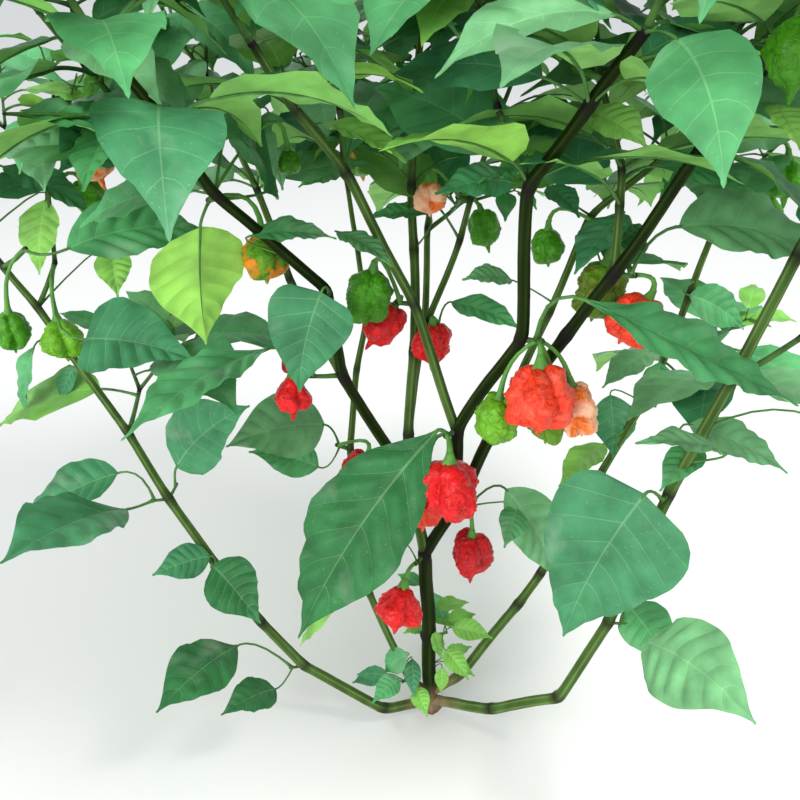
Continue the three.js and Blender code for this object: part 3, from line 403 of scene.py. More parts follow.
# Which masses share a piece
REGIONS = {
    "low": ("low_left", "low_right_foot", "low_right_knee", "foot_", "thin_left", "fork_fruit",
            "lower_right"),
    "centre": ("centre_spray", "right_spray", "left_knot", "back_knot", "left_twig", "left_crook",
               "left_lantern", "right_knot", "right_back_spray", "back_centre_spray"),
    "left": ("outer_left", "left_mass", "front_left"),
    "right": ("outer_right", "right_mass", "front_right", "right_low_back", "right_back_mass",
              "right_fork"),
    "back": ("back_",),
    "top": ("top_",),
}


# Directions, and throws that repeat
def direction(azimuth, rise):
    level = math.cos(math.radians(rise))
    return np.array((math.sin(math.radians(azimuth)) * level,
                     math.cos(math.radians(azimuth)) * level,
                     math.sin(math.radians(rise))))


def onward(point, reach):
    length, azimuth, rise = reach
    return point + length * direction(azimuth, rise)


def unit(vector):
    return vector / np.linalg.norm(vector)


def curve_points(start, control, end, shares):
    """Points of a quadratic curve at shares of its length."""
    t = np.asarray(shares)[:, None]
    return (1 - t) ** 2 * start + 2 * t * (1 - t) * control + t ** 2 * end


SIDE_LEAF_SEED = 700
TIP_SEED = 500
JOINT_LEAF_SEED = 900
FOOT_LEAF_SEED = 800
TUFT_PATH = 1000
BLADE_PATH = 31
FRUIT_PATH = 53


def dice(seed, path):
    """A repeatable die for each organ, as in the plant's source."""
    state = (seed * 7919 + path * 104729) % 4294967296

    def throw():
        nonlocal state
        state = (1664525 * state + 1013904223) % 4294967296
        return state / 4294967296

    throw()
    throw()
    return throw


def pick(span, throw):
    least, play = span
    return least + play * throw()


# The photograph's view, in which a pixel is (rightward, downward) from its upper left corner
PITCH = math.radians(CAMERA_PITCH)
AHEAD = np.array((0, math.cos(PITCH), -math.sin(PITCH)))
ASIDE = np.array((1.0, 0, 0))
ABOVE = np.array((0, math.sin(PITCH), math.cos(PITCH)))
FOCAL = CAMERA_LENS / SENSOR_WIDTH * PHOTO_SIZE


def seen_point(pixel, depth):
    """The point that shows at a pixel and lies at a depth ahead of the lens."""
    right, down = (number - PHOTO_SIZE / 2 for number in pixel)
    return CAMERA_PLACE + depth * (AHEAD + ASIDE * right / FOCAL - ABOVE * down / FOCAL)


def seen_pixels(points):
    """The pixels at which points show."""
    rays = points - CAMERA_PLACE
    depths = rays @ AHEAD
    across = np.stack((rays @ ASIDE / depths, -(rays @ ABOVE) / depths), -1)
    return PHOTO_SIZE / 2 + FOCAL * across


def in_box(point):
    return not ((point < CAD_LOW).any() or (point > CAD_HIGH).any())


def bearing(vector):
    """A vector's length, azimuth and rise."""
    length = float(np.linalg.norm(vector))
    azimuth = math.degrees(math.atan2(vector[0], vector[1]))
    return length, azimuth, math.degrees(math.asin(vector[2] / length))


# The frame's solids, and whether they hold an organ of the rule
def solid_tree(names):
    points, faces = [], []
    for name in names:
        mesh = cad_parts[name].data
        start = len(points)
        points.extend(vertex.co.copy() for vertex in mesh.vertices)
        faces.extend([start + corner for corner in face.vertices] for face in mesh.polygons)
    return BVHTree.FromPolygons(points, faces)


def touches(tree, point, reach):
    return tree.find_nearest(Vector(point), reach)[0] is not None


# Leaves
def arc_frames(leaf, t):
    """The midrib's point, heading, cross direction and upward direction at each share t."""
    azimuth = math.radians(leaf["azimuth"])
    droop = math.radians(leaf["droop"])
    first = math.radians(leaf["rise"] + leaf["droop"] / 2)
    rise = first - droop * t
    out = leaf["length"] * (math.sin(first) - np.sin(rise)) / droop
    up = leaf["length"] * (np.cos(rise) - math.cos(first)) / droop
    level = np.array((math.sin(azimuth), math.cos(azimuth), 0))
    side = np.array((math.cos(azimuth), -math.sin(azimuth), 0))
    top = np.array((0, 0, 1.0))
    point = leaf["base"] + out[..., None] * level + up[..., None] * top
    along = np.cos(rise)[..., None] * level + np.sin(rise)[..., None] * top
    normal = np.cos(rise)[..., None] * top - np.sin(rise)[..., None] * level
    roll = math.radians(leaf["roll"])
    across = math.cos(roll) * side - math.sin(roll) * normal
    lifted = math.cos(roll) * normal + math.sin(roll) * side
    return point, along, across, lifted


def blade_half_width(t, leaf, form="plain"):
    widens, narrows, drawn = BLADE_FORMS[form]
    widest = widens / (widens + narrows)
    peak = widest ** widens * (1 - widest) ** narrows
    shape = t ** widens * (1 - t) ** narrows * (1 - drawn * np.clip((t - 0.62) / 0.3, 0, 1))
    return 0.5 * BLADE_WIDTH * leaf["breadth"] * leaf["length"] * shape / peak


def leaf_is_there(tree, leaf):
    """Whether the node's solid has this leaf's tip and a corner of its last wide station."""
    tip = arc_frames(leaf, np.array(1.0))[0]
    if not touches(tree, tip, SAME_CORNER):
        return False
    station = next(share for least, share in LAST_STATIONS if leaf["length"] > least)
    point, _, across, lifted = arc_frames(leaf, np.array(station))
    half = float(blade_half_width(station, leaf))
    lift = math.tan(math.radians(FOLD)) * half * lifted
    return any(touches(tree, point + way * half * across + lift, SAME_CORNER) for way in (-1, 1))


def blade_samples(leaf):
    """Points along a blade's midrib and margins."""
    middle = arc_frames(leaf, np.array((0.3, 0.55, 0.8, 1.0)))[0]
    point, _, across, lifted = arc_frames(leaf, np.array((0.2, 0.4, 0.65)))
    half = blade_half_width(np.array((0.2, 0.4, 0.65)), leaf)[:, None]
    lift = math.tan(math.radians(FOLD)) * half * lifted * 0.6
    return np.concatenate((middle, point + half * across + lift, point - half * across + lift))


def judge_blade(base, tip, sight, habit):
    """The likeliest blade from base to tip that looks as wide as it was read, after what it costs."""
    chord, azimuth, rise = bearing(tip - base)
    half_droop = math.radians(SEEN_DROOP / 2)
    length = chord * half_droop / math.sin(half_droop)
    drawn = seen_pixels(tip) - seen_pixels(base)
    drawn_length = np.linalg.norm(drawn)
    least, most = LENGTHS
    if not least < length < most or drawn_length < LEAST_PIXELS["length"]:
        return math.inf, None
    leaf = {"base": base, "length": length, "azimuth": azimuth, "rise": rise, "droop": SEEN_DROOP,
            "roll": 0, "breadth": 1}
    point, _, side, normal = arc_frames(leaf, np.array(SEEN_SHARE))
    half = blade_half_width(np.array(SEEN_SHARE), leaf, sight.get("form", "oval"))
    rolls = np.radians(SEEN_ROLLS)[:, None]
    across = np.cos(rolls) * side - np.sin(rolls) * normal
    lifted = np.cos(rolls) * normal + np.sin(rolls) * side
    margins = seen_pixels(point + half * across) - seen_pixels(point - half * across)
    widths = np.abs(margins @ (-drawn[1], drawn[0])) / drawn_length
    breadths = sight["wide"] / np.maximum(widths, LEAST_PIXELS["width"])
    costs = (COSTS["breadth"] * np.abs(np.log(breadths / USUAL_BREADTH))
             + COSTS["roll"] * np.abs(SEEN_ROLLS)
             + COSTS["length"] * abs(length - habit["length"])
             + COSTS["turned_over"] * (lifted[:, 2] < LEAST_LIFT)
             + COSTS["turned_away"] * (lifted @ (CAMERA_PLACE - point) < 0))
    costs = np.where(widths < LEAST_PIXELS["width"], math.inf, costs)
    best = int(np.argmin(costs))
    # kept to millimetres and whole degrees
    breadth = sight.get("breadth", round(float(np.clip(breadths[best], *BREADTHS)), 2))
    blade = (round(length, 3), int(azimuth), int(rise), SEEN_DROOP, int(SEEN_ROLLS[best]), breadth)
    return costs[best], blade


def mass_on(limb_name):
    """The first mass on a limb, whose piece also takes the leaves that sit on the limb itself."""
    return next(spec for spec in MASSES if spec["on"] == limb_name)


# The whole plant's growth: where every limb, twig, leaf and fruit is
class Growth:
    """Where each limb, twig, leaf and fruit grows, in metres."""

    def __init__(self):
        self.limbs = {}
        self.twigs = []
        self.leaves = []
        self.fruits = []
        self.shown = solid_tree(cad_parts)
        self.taken = np.zeros((0, 3))
        self.open_bearings = np.zeros((0, 3))
        self.open_depths = np.zeros(0)
        self.open_reaches = np.zeros(0)

    def keep_open(self, points, reaches):
        """Keeps later growth out of the line of sight to points that the photograph shows."""
        rays = np.array(points) - CAMERA_PLACE
        depths = np.linalg.norm(rays, axis=1)
        shown = (rays @ ABOVE) / (rays @ AHEAD) < OPEN_TOP
        self.open_bearings = np.concatenate((self.open_bearings, (rays / depths[:, None])[shown]))
        self.open_depths = np.concatenate((self.open_depths, depths[shown]))
        self.open_reaches = np.concatenate((self.open_reaches, np.broadcast_to(reaches, len(rays))[shown]))

    def keep_limbs_open(self):
        for limb in self.limbs.values():
            for start, end in zip(limb["joints"], limb["joints"][1:]):
                self.keep_open(start + (end - start) * np.linspace(0, 1, 16)[:, None], LIMB_SIGHT)

    def keep_fruit_open(self):
        for spec in MASSES:
            start = self.limbs[spec["on"]]["joints"][spec["joint"]]
            for reach, azimuth, rise, width, length, *_ in spec.get("fruits", ()):
                middle = onward(onward(start, reach), (length / 2, azimuth, rise))
                depth = np.linalg.norm(middle - CAMERA_PLACE)
                self.keep_open([middle], width / 2 / depth + FRUIT_SIGHT)

    def hides(self, samples):
        rays = samples - CAMERA_PLACE
        depths = np.linalg.norm(rays, axis=1)
        bearings = rays / depths[:, None]
        apart = np.linalg.norm(bearings[:, None] - self.open_bearings[None], axis=2)
        return ((apart < self.open_reaches[None]) & (depths[:, None] < self.open_depths[None])).any()

    def grow_limb(self, spec):
        start = np.zeros(3)
        if "on" in spec:
            start = self.limbs[spec["on"]]["joints"][spec.get("joint", 0)].copy()
            start[2] += spec.get("lift", 0)
        joints = [start]
        for link in spec["links"]:
            joints.append(onward(joints[-1], link))
        self.limbs[spec["name"]] = {**spec, "joints": joints}

    def add_twig(self, mass, points, radii, fine=False):
        spur = "grow" not in mass and "fruits" not in mass
        self.twigs.append({"mass": mass["name"], "points": points, "radii": radii, "fine": fine,
                           "spur": spur})

    def add_leaf(self, mass, root, base, blade, tint, kind, form="oval"):
        length, azimuth, rise, droop, roll, breadth = blade
        leaf = {"mass": mass["name"], "root": root, "base": base, "length": length, "azimuth": azimuth,
                "rise": rise, "droop": droop, "roll": roll, "breadth": breadth, "tint": tint,
                "kind": kind, "form": form, "number": len(self.leaves)}
        self.leaves.append(leaf)
        return leaf

    def add_fruit(self, mass, root, calyx, hang, ripeness, fine, form="cone"):
        azimuth, rise, width, length = hang
        self.fruits.append({"mass": mass["name"], "root": root, "calyx": calyx, "azimuth": azimuth,
                            "rise": rise, "width": width, "length": length, "ripeness": ripeness,
                            "fine": fine, "form": form, "number": len(self.fruits)})

    def grow_leaf(self, mass, root, azimuth, rise, petiole, size, droop, roll):
        base = onward(root, (petiole, azimuth, rise + PETIOLE_LIFT))
        blade = (size * mass["grow"][2], azimuth, rise - droop / 2, droop, roll, 1)
        leaf = self.add_leaf(mass, root, base, blade, None, "grown")
        if not leaf_is_there(mass["tree"], leaf):
            self.leaves.pop()

    def grow_fork(self, mass, point, azimuth, rise, length, level, path):
        throw = dice(mass["seed"], path)
        side = 1 if path % 2 == 0 else -1
        leaf_azimuth = azimuth + side * pick(FORK_LEAF["turn"], throw)
        size = pick(FORK_LEAF["size"], throw)
        droop = pick(FORK_LEAF["droop"], throw)
        roll = pick(FORK_LEAF["roll"], throw)
        petiole = pick(FORK_LEAF["petiole"], throw)
        leaf_rise = pick(FORK_LEAF["rise"], throw)
        root = onward(point, (-LEAF_SPACING, azimuth, rise))
        self.grow_leaf(mass, root, leaf_azimuth, leaf_rise, petiole, size, droop, roll)
        if throw() < TWIG_FRUIT["chance"]:
            self.grow_fruit(mass, onward(point, (-2 * LEAF_SPACING, azimuth, rise)), leaf_azimuth, path)
        for way in (-1, 1):
            self.grow_shoot(mass, point, azimuth, rise, length, level, path * 3 + (way + 3) // 2, way)

    def grow_fruit(self, mass, knot, leaf_azimuth, path):
        azimuth = leaf_azimuth + TWIG_FRUIT["turn"]
        calyx = onward(knot, (TWIG_FRUIT["reach"], azimuth, TWIG_FRUIT["lift"]))
        hang = (azimuth, TWIG_FRUIT["hang"], TWIG_FRUIT["width"], TWIG_FRUIT["length"])
        tail = onward(calyx, (FRUIT_TAIL * hang[3], azimuth, hang[1]))
        if touches(mass["tree"], tail, SAME_CORNER):
            ripeness = ("green", "green", "turning", "orange", "green")[(mass["seed"] + path) % 5]
            self.add_fruit(mass, knot, calyx, hang, ripeness, False, ("cone", "dome", "pear")[path % 3])

    def grow_shoot(self, mass, point, azimuth, rise, length, level, path, way):
        throw = dice(mass["seed"], path)
        turn = pick(SHOOT["turn"], throw) / (1 if level == 0 else SHOOT["later_turn"])
        climbed = rise + pick(SHOOT["climb"], throw)
        least, most = SHOOT["rises"]
        reach = (length * pick(SHOOT["length"], throw), azimuth + way * turn,
                 min(max(climbed, least), most))
        end = onward(point, reach)
        radius = TWIG_RADIUS * TWIG_TAPER ** level
        middle = (point + end) / 2
        if not all(touches(mass["tree"], place, radius + SAME_TWIG) for place in (end, middle)):
            return
        heel = onward(point, (-ROOT_DEPTH, azimuth, rise))
        self.add_twig(mass, [heel, point, end], [radius, radius, radius * TWIG_TAPER])
        self.grow_side_leaf(mass, point, end, reach, path)
        if level + 1 < mass["grow"][1]:
            self.grow_fork(mass, end, reach[1], reach[2], reach[0], level + 1, path)
        else:
            self.grow_tuft(mass, end, reach[1], reach[2], path)
            self.grow_tip(mass, end, reach[1], reach[2], path)

    def grow_tuft(self, mass, point, azimuth, rise, path):
        for leaf in range(TUFT_LEAVES):
            throw = dice(mass["seed"], path * 5 + leaf + TUFT_PATH)
            turned = azimuth + (leaf - 1) * pick(TUFT_LEAF["turn"], throw)
            leaf_azimuth = turned + pick(TUFT_LEAF["sway"], throw)
            leaf_rise = pick(TUFT_LEAF["rise"], throw)
            droop = pick(TUFT_LEAF["droop"], throw)
            size = pick(TUFT_LEAF["size"], throw)
            petiole = pick(TUFT_LEAF["petiole"], throw)
            roll = pick(TUFT_LEAF["roll"], throw)
            root = onward(point, (-0.001 - LEAF_SPACING * leaf, azimuth, rise))
            self.grow_leaf(mass, root, leaf_azimuth, leaf_rise, petiole, size, droop, roll)

    def is_free(self, samples):
        """Whether sample points of new growth keep clear of the solids, of each other and of the box."""
        low, high = np.array(CAD_LOW), np.array(CAD_HIGH)
        low[2] = LEAST_HEIGHT
        if (samples < low).any() or (samples > high).any():
            return False
        if any(touches(self.shown, sample, LEAST_GAP) for sample in samples):
            return False
        if self.hides(samples):
            return False
        if len(self.taken):
            gaps = np.linalg.norm(self.taken[None] - samples[:, None], axis=2)
            if gaps.min() < YOUNG_GAP:
                return False
        return True

    def try_leaf(self, mass, root, heading, habit, throw, tint):
        """One more leaf, if its blade keeps clear of all that is there."""
        azimuth, rise = heading
        length = pick(habit["size"], throw)
        petiole = pick(habit["petiole"], throw)
        droop = pick(habit["droop"], throw)
        roll = pick(habit["roll"], throw)
        base = onward(root, (petiole, azimuth, rise + PETIOLE_LIFT))
        blade = (length, azimuth, rise - droop / 2, droop, roll, USUAL_BREADTH)
        kind = "young" if length < YOUNG_LENGTH else "grown"
        leaf = self.add_leaf(mass, root, base, blade, tint, kind)
        samples = blade_samples(leaf)
        if self.is_free(samples):
            self.taken = np.concatenate((self.taken, samples))
        else:
            self.leaves.pop()

    def grow_side_leaf(self, mass, start, end, reach, path):
        throw = dice(mass["seed"] + SIDE_LEAF_SEED, path)
        for leaf in range(SIDE_LEAVES):
            way = 1 if leaf % 2 else -1
            root = start + (end - start) * (0.2 + 0.15 * leaf + 0.2 * throw())
            heading = (reach[1] + way * pick(SIDE_LEAF["turn"], throw), pick(SIDE_LEAF["rise"], throw))
            self.try_leaf(mass, root, heading, SIDE_LEAF, throw, None)

    def grow_tip(self, mass, point, azimuth, rise, path):
        """A tender shoot past a tuft: two short twigs with young leaves."""
        throw = dice(mass["seed"] + TIP_SEED, path)
        for way in (-1, 1):
            reach = (pick(TIP_SHOOT["length"], throw), azimuth + way * pick(TIP_SHOOT["turn"], throw),
                     min(rise + pick(TIP_SHOOT["climb"], throw), SHOOT["rises"][1]))
            end = onward(point, reach)
            clear = self.is_free(np.array([point + (end - point) * 0.6, end]))
            leaf_turns = [pick(YOUNG_LEAF["turn"], throw) for _ in range(YOUNG_LEAVES)]
            leaf_rises = [pick(YOUNG_LEAF["rise"], throw) for _ in range(YOUNG_LEAVES)]
            if not clear:
                continue
            radius = TIP_SHOOT["radius"]
            self.add_twig(mass, [point, end], [radius, radius * TWIG_TAPER], True)
            for leaf in range(YOUNG_LEAVES):
                turn = (leaf - 1) * leaf_turns[leaf]
                root = point + (end - point) * (1 - 0.25 * leaf)
                self.try_leaf(mass, root, (reach[1] + turn, leaf_rises[leaf]), YOUNG_LEAF, throw, "young")

    def limb_places(self):
        """Each tenth of each link of the limbs, as the limb's name and the point."""
        places = []
        for name, limb in self.limbs.items():
            joints = limb["joints"]
            for start, end in zip(joints, joints[1:]):
                places += [(name, start + (end - start) * (tenth / 10)) for tenth in range(10)]
            places.append((name, joints[-1]))
        return places

    def grow_seen_leaf(self, sight, habit):
        """The likeliest leaf on a limb that looks as the photograph shows it."""
        least_cost = math.inf
        least, most = PETIOLES
        for name, root in self.limb_places():
            depth = (root - CAMERA_PLACE) @ AHEAD
            off = abs(depth - sight["far"])
            if off > DEPTH_PLAY:
                continue
            for step in DEPTH_STEPS:
                base = seen_point(sight["root"], depth + step)
                petiole = np.linalg.norm(base - root)
                hang = max(0, (root - base)[2] / petiole - EASY_HANG)
                cost = (COSTS["petiole"] * abs(petiole - habit["petiole"]) + COSTS["hang"] * hang
                        + COSTS["depth"] * off)
                if not least < petiole < most or cost >= least_cost or not in_box(base):
                    continue
                for swing in SWINGS[sight.get("swing", habit["swing"])]:
                    tip = seen_point(sight["tip"], depth + step + swing)
                    if not in_box(tip) or tip[2] < LEAST_TIP_HEIGHT:
                        continue
                    blade_cost, blade = judge_blade(base, tip, sight, habit)
                    if cost + blade_cost < least_cost:
                        least_cost = cost + blade_cost
                        length, azimuth, rise = bearing(base - root)
                        found = (name, root, (round(length, 3), int(azimuth), int(rise)), blade)
        self.set_limb_leaf(*found, sight["tint"], sight.get("form", "oval"))

    def grow_edge_leaf(self):
        start, end = self.limbs[EDGE_LEAF["on"]]["joints"][EDGE_LEAF["joint"]:][:2]
        root = start + (end - start) * EDGE_LEAF["share"]
        self.set_limb_leaf(EDGE_LEAF["on"], root, EDGE_LEAF["reach"], EDGE_LEAF["blade"],
                           EDGE_LEAF["tint"], "oval")

    def set_limb_leaf(self, name, root, reach, blade, tint, form):
        leaf = self.add_leaf(mass_on(name), root, onward(root, reach), blade, tint, "set", form)
        self.taken = np.concatenate((self.taken, blade_samples(leaf)))

    def grow_joint_leaves(self, limb):
        """Leaves at a limb's upper joints."""
        mass = mass_on(limb["name"])
        throw = dice(len(limb["name"]) + JOINT_LEAF_SEED, 7)
        for joint in limb["joints"][1:]:
            turn = 360 * throw()
            for leaf in range(JOINT_LEAVES):
                heading = (turn + GOLDEN_TURN * leaf, pick(JOINT_LEAF["rise"], throw))
                if joint[2] > JOINT_LEAF_HEIGHT:
                    self.try_leaf(mass, joint, heading, JOINT_LEAF, throw, None)

    def grow_foot_leaves(self, mass, spur):
        """Small bright leaves round a shoot at the plant's foot."""
        throw = dice(len(mass["name"]) + FOOT_LEAF_SEED, 5)
        for leaf in range(mass["foot_leaves"]):
            heading = (GOLDEN_TURN * leaf + 40 * throw(), pick(FOOT_LEAF["rise"], throw))
            self.try_leaf(mass, spur, heading, FOOT_LEAF, throw, "fresh")

    def narrow_blades(self):
        """Narrows each large blade that would cut into a limb."""
        places, radii = [], []
        for limb in self.limbs.values():
            joints = limb["joints"]
            for number, (start, end) in enumerate(zip(joints, joints[1:])):
                shares = np.linspace(0, 1, int(np.linalg.norm(end - start) / 0.002) + 2)
                places.append(start + (end - start) * shares[:, None])
                along = (number + shares) / (len(joints) - 1)
                radii.append(limb["radius"][0] + (limb["radius"][1] - limb["radius"][0]) * along)
        places, radii = np.concatenate(places), np.concatenate(radii) + LEAF_CLEARANCE
        t = np.linspace(0.06, 0.95, 14)
        for leaf in self.leaves:
            if leaf["kind"] == "young":
                continue
            near = np.linalg.norm(places - leaf["base"], axis=1) < leaf["length"] * 1.1
            point, _, across, lifted = arc_frames(leaf, t)
            breadth = leaf["breadth"]
            for _ in range(7):
                half = blade_half_width(t, leaf, leaf["form"])[:, None]
                samples = [point + share * half * (across + 0.2 * abs(share) * lifted)
                           for share in (-1, -0.8, -0.6, -0.4, 0.4, 0.6, 0.8, 1)]
                gaps = np.linalg.norm(places[near][None] - np.concatenate(samples)[:, None], axis=2)
                if not near.any() or (gaps > radii[near]).all():
                    break
                leaf["breadth"] *= 0.9
            else:
                leaf["breadth"] = breadth

    def grow_mass(self, spec):
        start = self.limbs[spec["on"]]["joints"][spec["joint"]]
        joints = [start]
        for link in spec["stem"]:
            joints.append(onward(joints[-1], link))
        mass = {**spec, "tree": solid_tree([spec["name"]])}
        limb = self.limbs[spec["on"]]
        at_end = spec["joint"] == len(limb["links"])
        most = STEM_SHARE * limb["radius"][1 if at_end else 0]
        shares = np.linspace(STEM_RADIUS_SHARES[0], STEM_RADIUS_SHARES[1], len(joints))
        shares = shares * (1 if "grow" in spec or "fruits" in spec else SPUR_GIRTH)
        self.add_twig(mass, joints, [min(TWIG_RADIUS * share, most) for share in shares])
        spur = joints[1]
        back = unit(start - spur)
        roots = 0
        for reach, azimuth, rise, width, length, ripeness, *form in spec.get("fruits", ()):
            root = spur + (ROOT_DEPTH + ROOT_SPACING * roots) * back
            roots += 1
            hang = (azimuth, rise, width, length)
            self.add_fruit(mass, root, onward(start, reach), hang, ripeness, True, *form)
        for reach, length, azimuth, rise, droop, roll, breadth, tint, *form in spec.get("leaves", ()):
            root = spur + (ROOT_DEPTH + ROOT_SPACING * roots) * back
            roots += 1
            blade = (length, azimuth, rise, droop, roll, breadth)
            self.add_leaf(mass, root, onward(start, reach), blade, tint, "set", *form)
        if "foot_leaves" in spec:
            self.grow_foot_leaves(mass, spur)
        if "grow" in spec:
            _, azimuth, rise = spec["stem"][-1]
            self.grow_fork(mass, joints[-1], azimuth, rise, spec["grow"][0], 0, 1)


@functools.cache
def plant_growth():
    growth = Growth()
    for spec in LIMBS:
        growth.grow_limb(spec)
    growth.keep_limbs_open()
    growth.keep_fruit_open()
    for sight in BOUGH_SIGHTS:
        growth.grow_seen_leaf(sight, BOUGH_HABIT)
    growth.grow_edge_leaf()
    for sight in HANGING_SIGHTS:
        growth.grow_seen_leaf(sight, BOUGH_HABIT)
    for sight in FOOT_SIGHTS:
        growth.grow_seen_leaf(sight, FOOT_HABIT)
    for spec in MASSES:
        growth.grow_mass(spec)
    for limb in growth.limbs.values():
        growth.grow_joint_leaves(limb)
    growth.narrow_blades()
    return growth


def region_of(mass_name):
    return next(region for region, starts in REGIONS.items() if mass_name.startswith(starts))


def masses_of(region):
    return [spec["name"] for spec in MASSES if region_of(spec["name"]) == region]


# Meshes
class Batch:
    """Gathers the vertices and faces of like organs, which become one mesh."""

    def __init__(self):
        self.points = []
        self.faces = []
        self.traits = {}
        self.count = 0

    def put(self, points, **traits):
        """Adds vertices and gives the number of the first."""
        start = self.count
        points = np.asarray(points, float).reshape(-1, 3)
        self.points.append(points)
        self.count += len(points)
        for name, values in traits.items():
            self.traits.setdefault(name, []).append((start, np.asarray(values, float).ravel()))
        return start

    def face(self, corners, finish):
        """Adds faces of three or four corners, with one finish or one for each."""
        corners = np.asarray(corners)
        self.faces.append((corners, np.broadcast_to(finish, len(corners))))

    def fan(self, here, point, turned, finish):
        """Closes a ring of corners to a point."""
        centre = self.put(point)
        after = np.roll(here, -1)
        pair = (after, here) if turned else (here, after)
        self.face(np.stack((*pair, np.full(len(here), centre)), -1), finish)

    def build(self, name, finishes):
        mesh = bpy.data.meshes.new(name)
        mesh.vertices.add(self.count)
        mesh.vertices.foreach_set("co", np.concatenate(self.points).astype(np.float32).ravel())
        corners = np.concatenate([faces.ravel() for faces, _ in self.faces]).astype(np.int32)
        sizes = np.concatenate([np.full(len(faces), faces.shape[1]) for faces, _ in self.faces])
        starts = np.concatenate(((0,), np.cumsum(sizes)[:-1])).astype(np.int32)
        mesh.loops.add(len(corners))
        mesh.loops.foreach_set("vertex_index", corners)
        mesh.polygons.add(len(sizes))
        mesh.polygons.foreach_set("loop_start", starts)
        numbers = np.concatenate([finish for _, finish in self.faces]).astype(np.int32)
        mesh.polygons.foreach_set("material_index", numbers)
        mesh.polygons.foreach_set("use_smooth", np.ones(len(sizes), bool))
        for trait, parts in self.traits.items():
            values = np.zeros(self.count, np.float32)
            for start, part in parts:
                values[start:start + len(part)] = part
            mesh.attributes.new(trait, "FLOAT", "POINT").data.foreach_set("value", values)
        for finish in finishes:
            mesh.materials.append(finish)
        mesh.update(calc_edges=True)
        mesh.validate()
        piece = bpy.data.objects.new(name, mesh)
        bpy.context.scene.collection.objects.link(piece)
        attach(piece, "root")
        return piece


FIRST_LEAN = (1, 0.2, 0.1)
HANGING_LEAN = (0.3, 1, 0.2)


def cross_frame(along):
    """Two directions across a heading."""
    across = unit(np.cross(along, HANGING_LEAN))
    return across, np.cross(along, across)


def ring_frames(points):
    """Cross directions along a path that turn as little as they can."""
    headings = np.gradient(points, axis=0)
    headings /= np.linalg.norm(headings, axis=1)[:, None]
    across = np.array(FIRST_LEAN, float)
    sides = []
    for heading in headings:
        across = unit(across - heading * (across @ heading))
        sides.append(across)
    sides = np.array(sides)
    return sides, np.cross(headings, sides)


def grid_faces(rows, columns, closed):
    """Corner numbers of the quads of a grid whose rows may close on themselves."""
    row = np.arange(rows - 1)[:, None]
    column = np.arange(columns if closed else columns - 1)[None]
    after = (column + 1) % columns
    quads = np.stack((row * columns + column, row * columns + after,
                      (row + 1) * columns + after, (row + 1) * columns + column), -1)
    return quads.reshape(-1, 4)


def add_tube(batch, points, radii, sides, finish, shape=None, **traits):
    """A round tube, closed at both ends. Shape gives each ring's share of its radius by side."""
    points = np.asarray(points, float)
    across, up = ring_frames(points)
    angles = 2 * math.pi * np.arange(sides) / sides
    if shape is None:
        shape = np.ones((len(points), sides))
    reach = (np.asarray(radii)[:, None] * shape)[..., None]
    rings = points[:, None] + reach * (np.cos(angles)[None, :, None] * across[:, None]
                                       + np.sin(angles)[None, :, None] * up[:, None])
    start = batch.put(rings, **traits)
    batch.face(start + grid_faces(len(points), sides, True), finish)
    for ring, turned in ((0, True), (len(points) - 1, False)):
        batch.fan(start + ring * sides + np.arange(sides), points[ring], turned, np.min(finish))


# Materials
class Value:
    """A socket that takes part in sums, each of which adds its Math node."""

    def __init__(self, finish, socket):
        self.finish = finish
        self.socket = socket

    def work(self, operation, first, second):
        return self.finish.add("ShaderNodeMath", {"operation": operation}, {0: first, 1: second})

    def __add__(self, other):
        return self.work("ADD", self, other)

    def __radd__(self, other):
        return self.work("ADD", other, self)

    def __sub__(self, other):
        return self.work("SUBTRACT", self, other)

    def __rsub__(self, other):
        return self.work("SUBTRACT", other, self)

    def __mul__(self, other):
        return self.work("MULTIPLY", self, other)

    def __rmul__(self, other):
        return self.work("MULTIPLY", other, self)


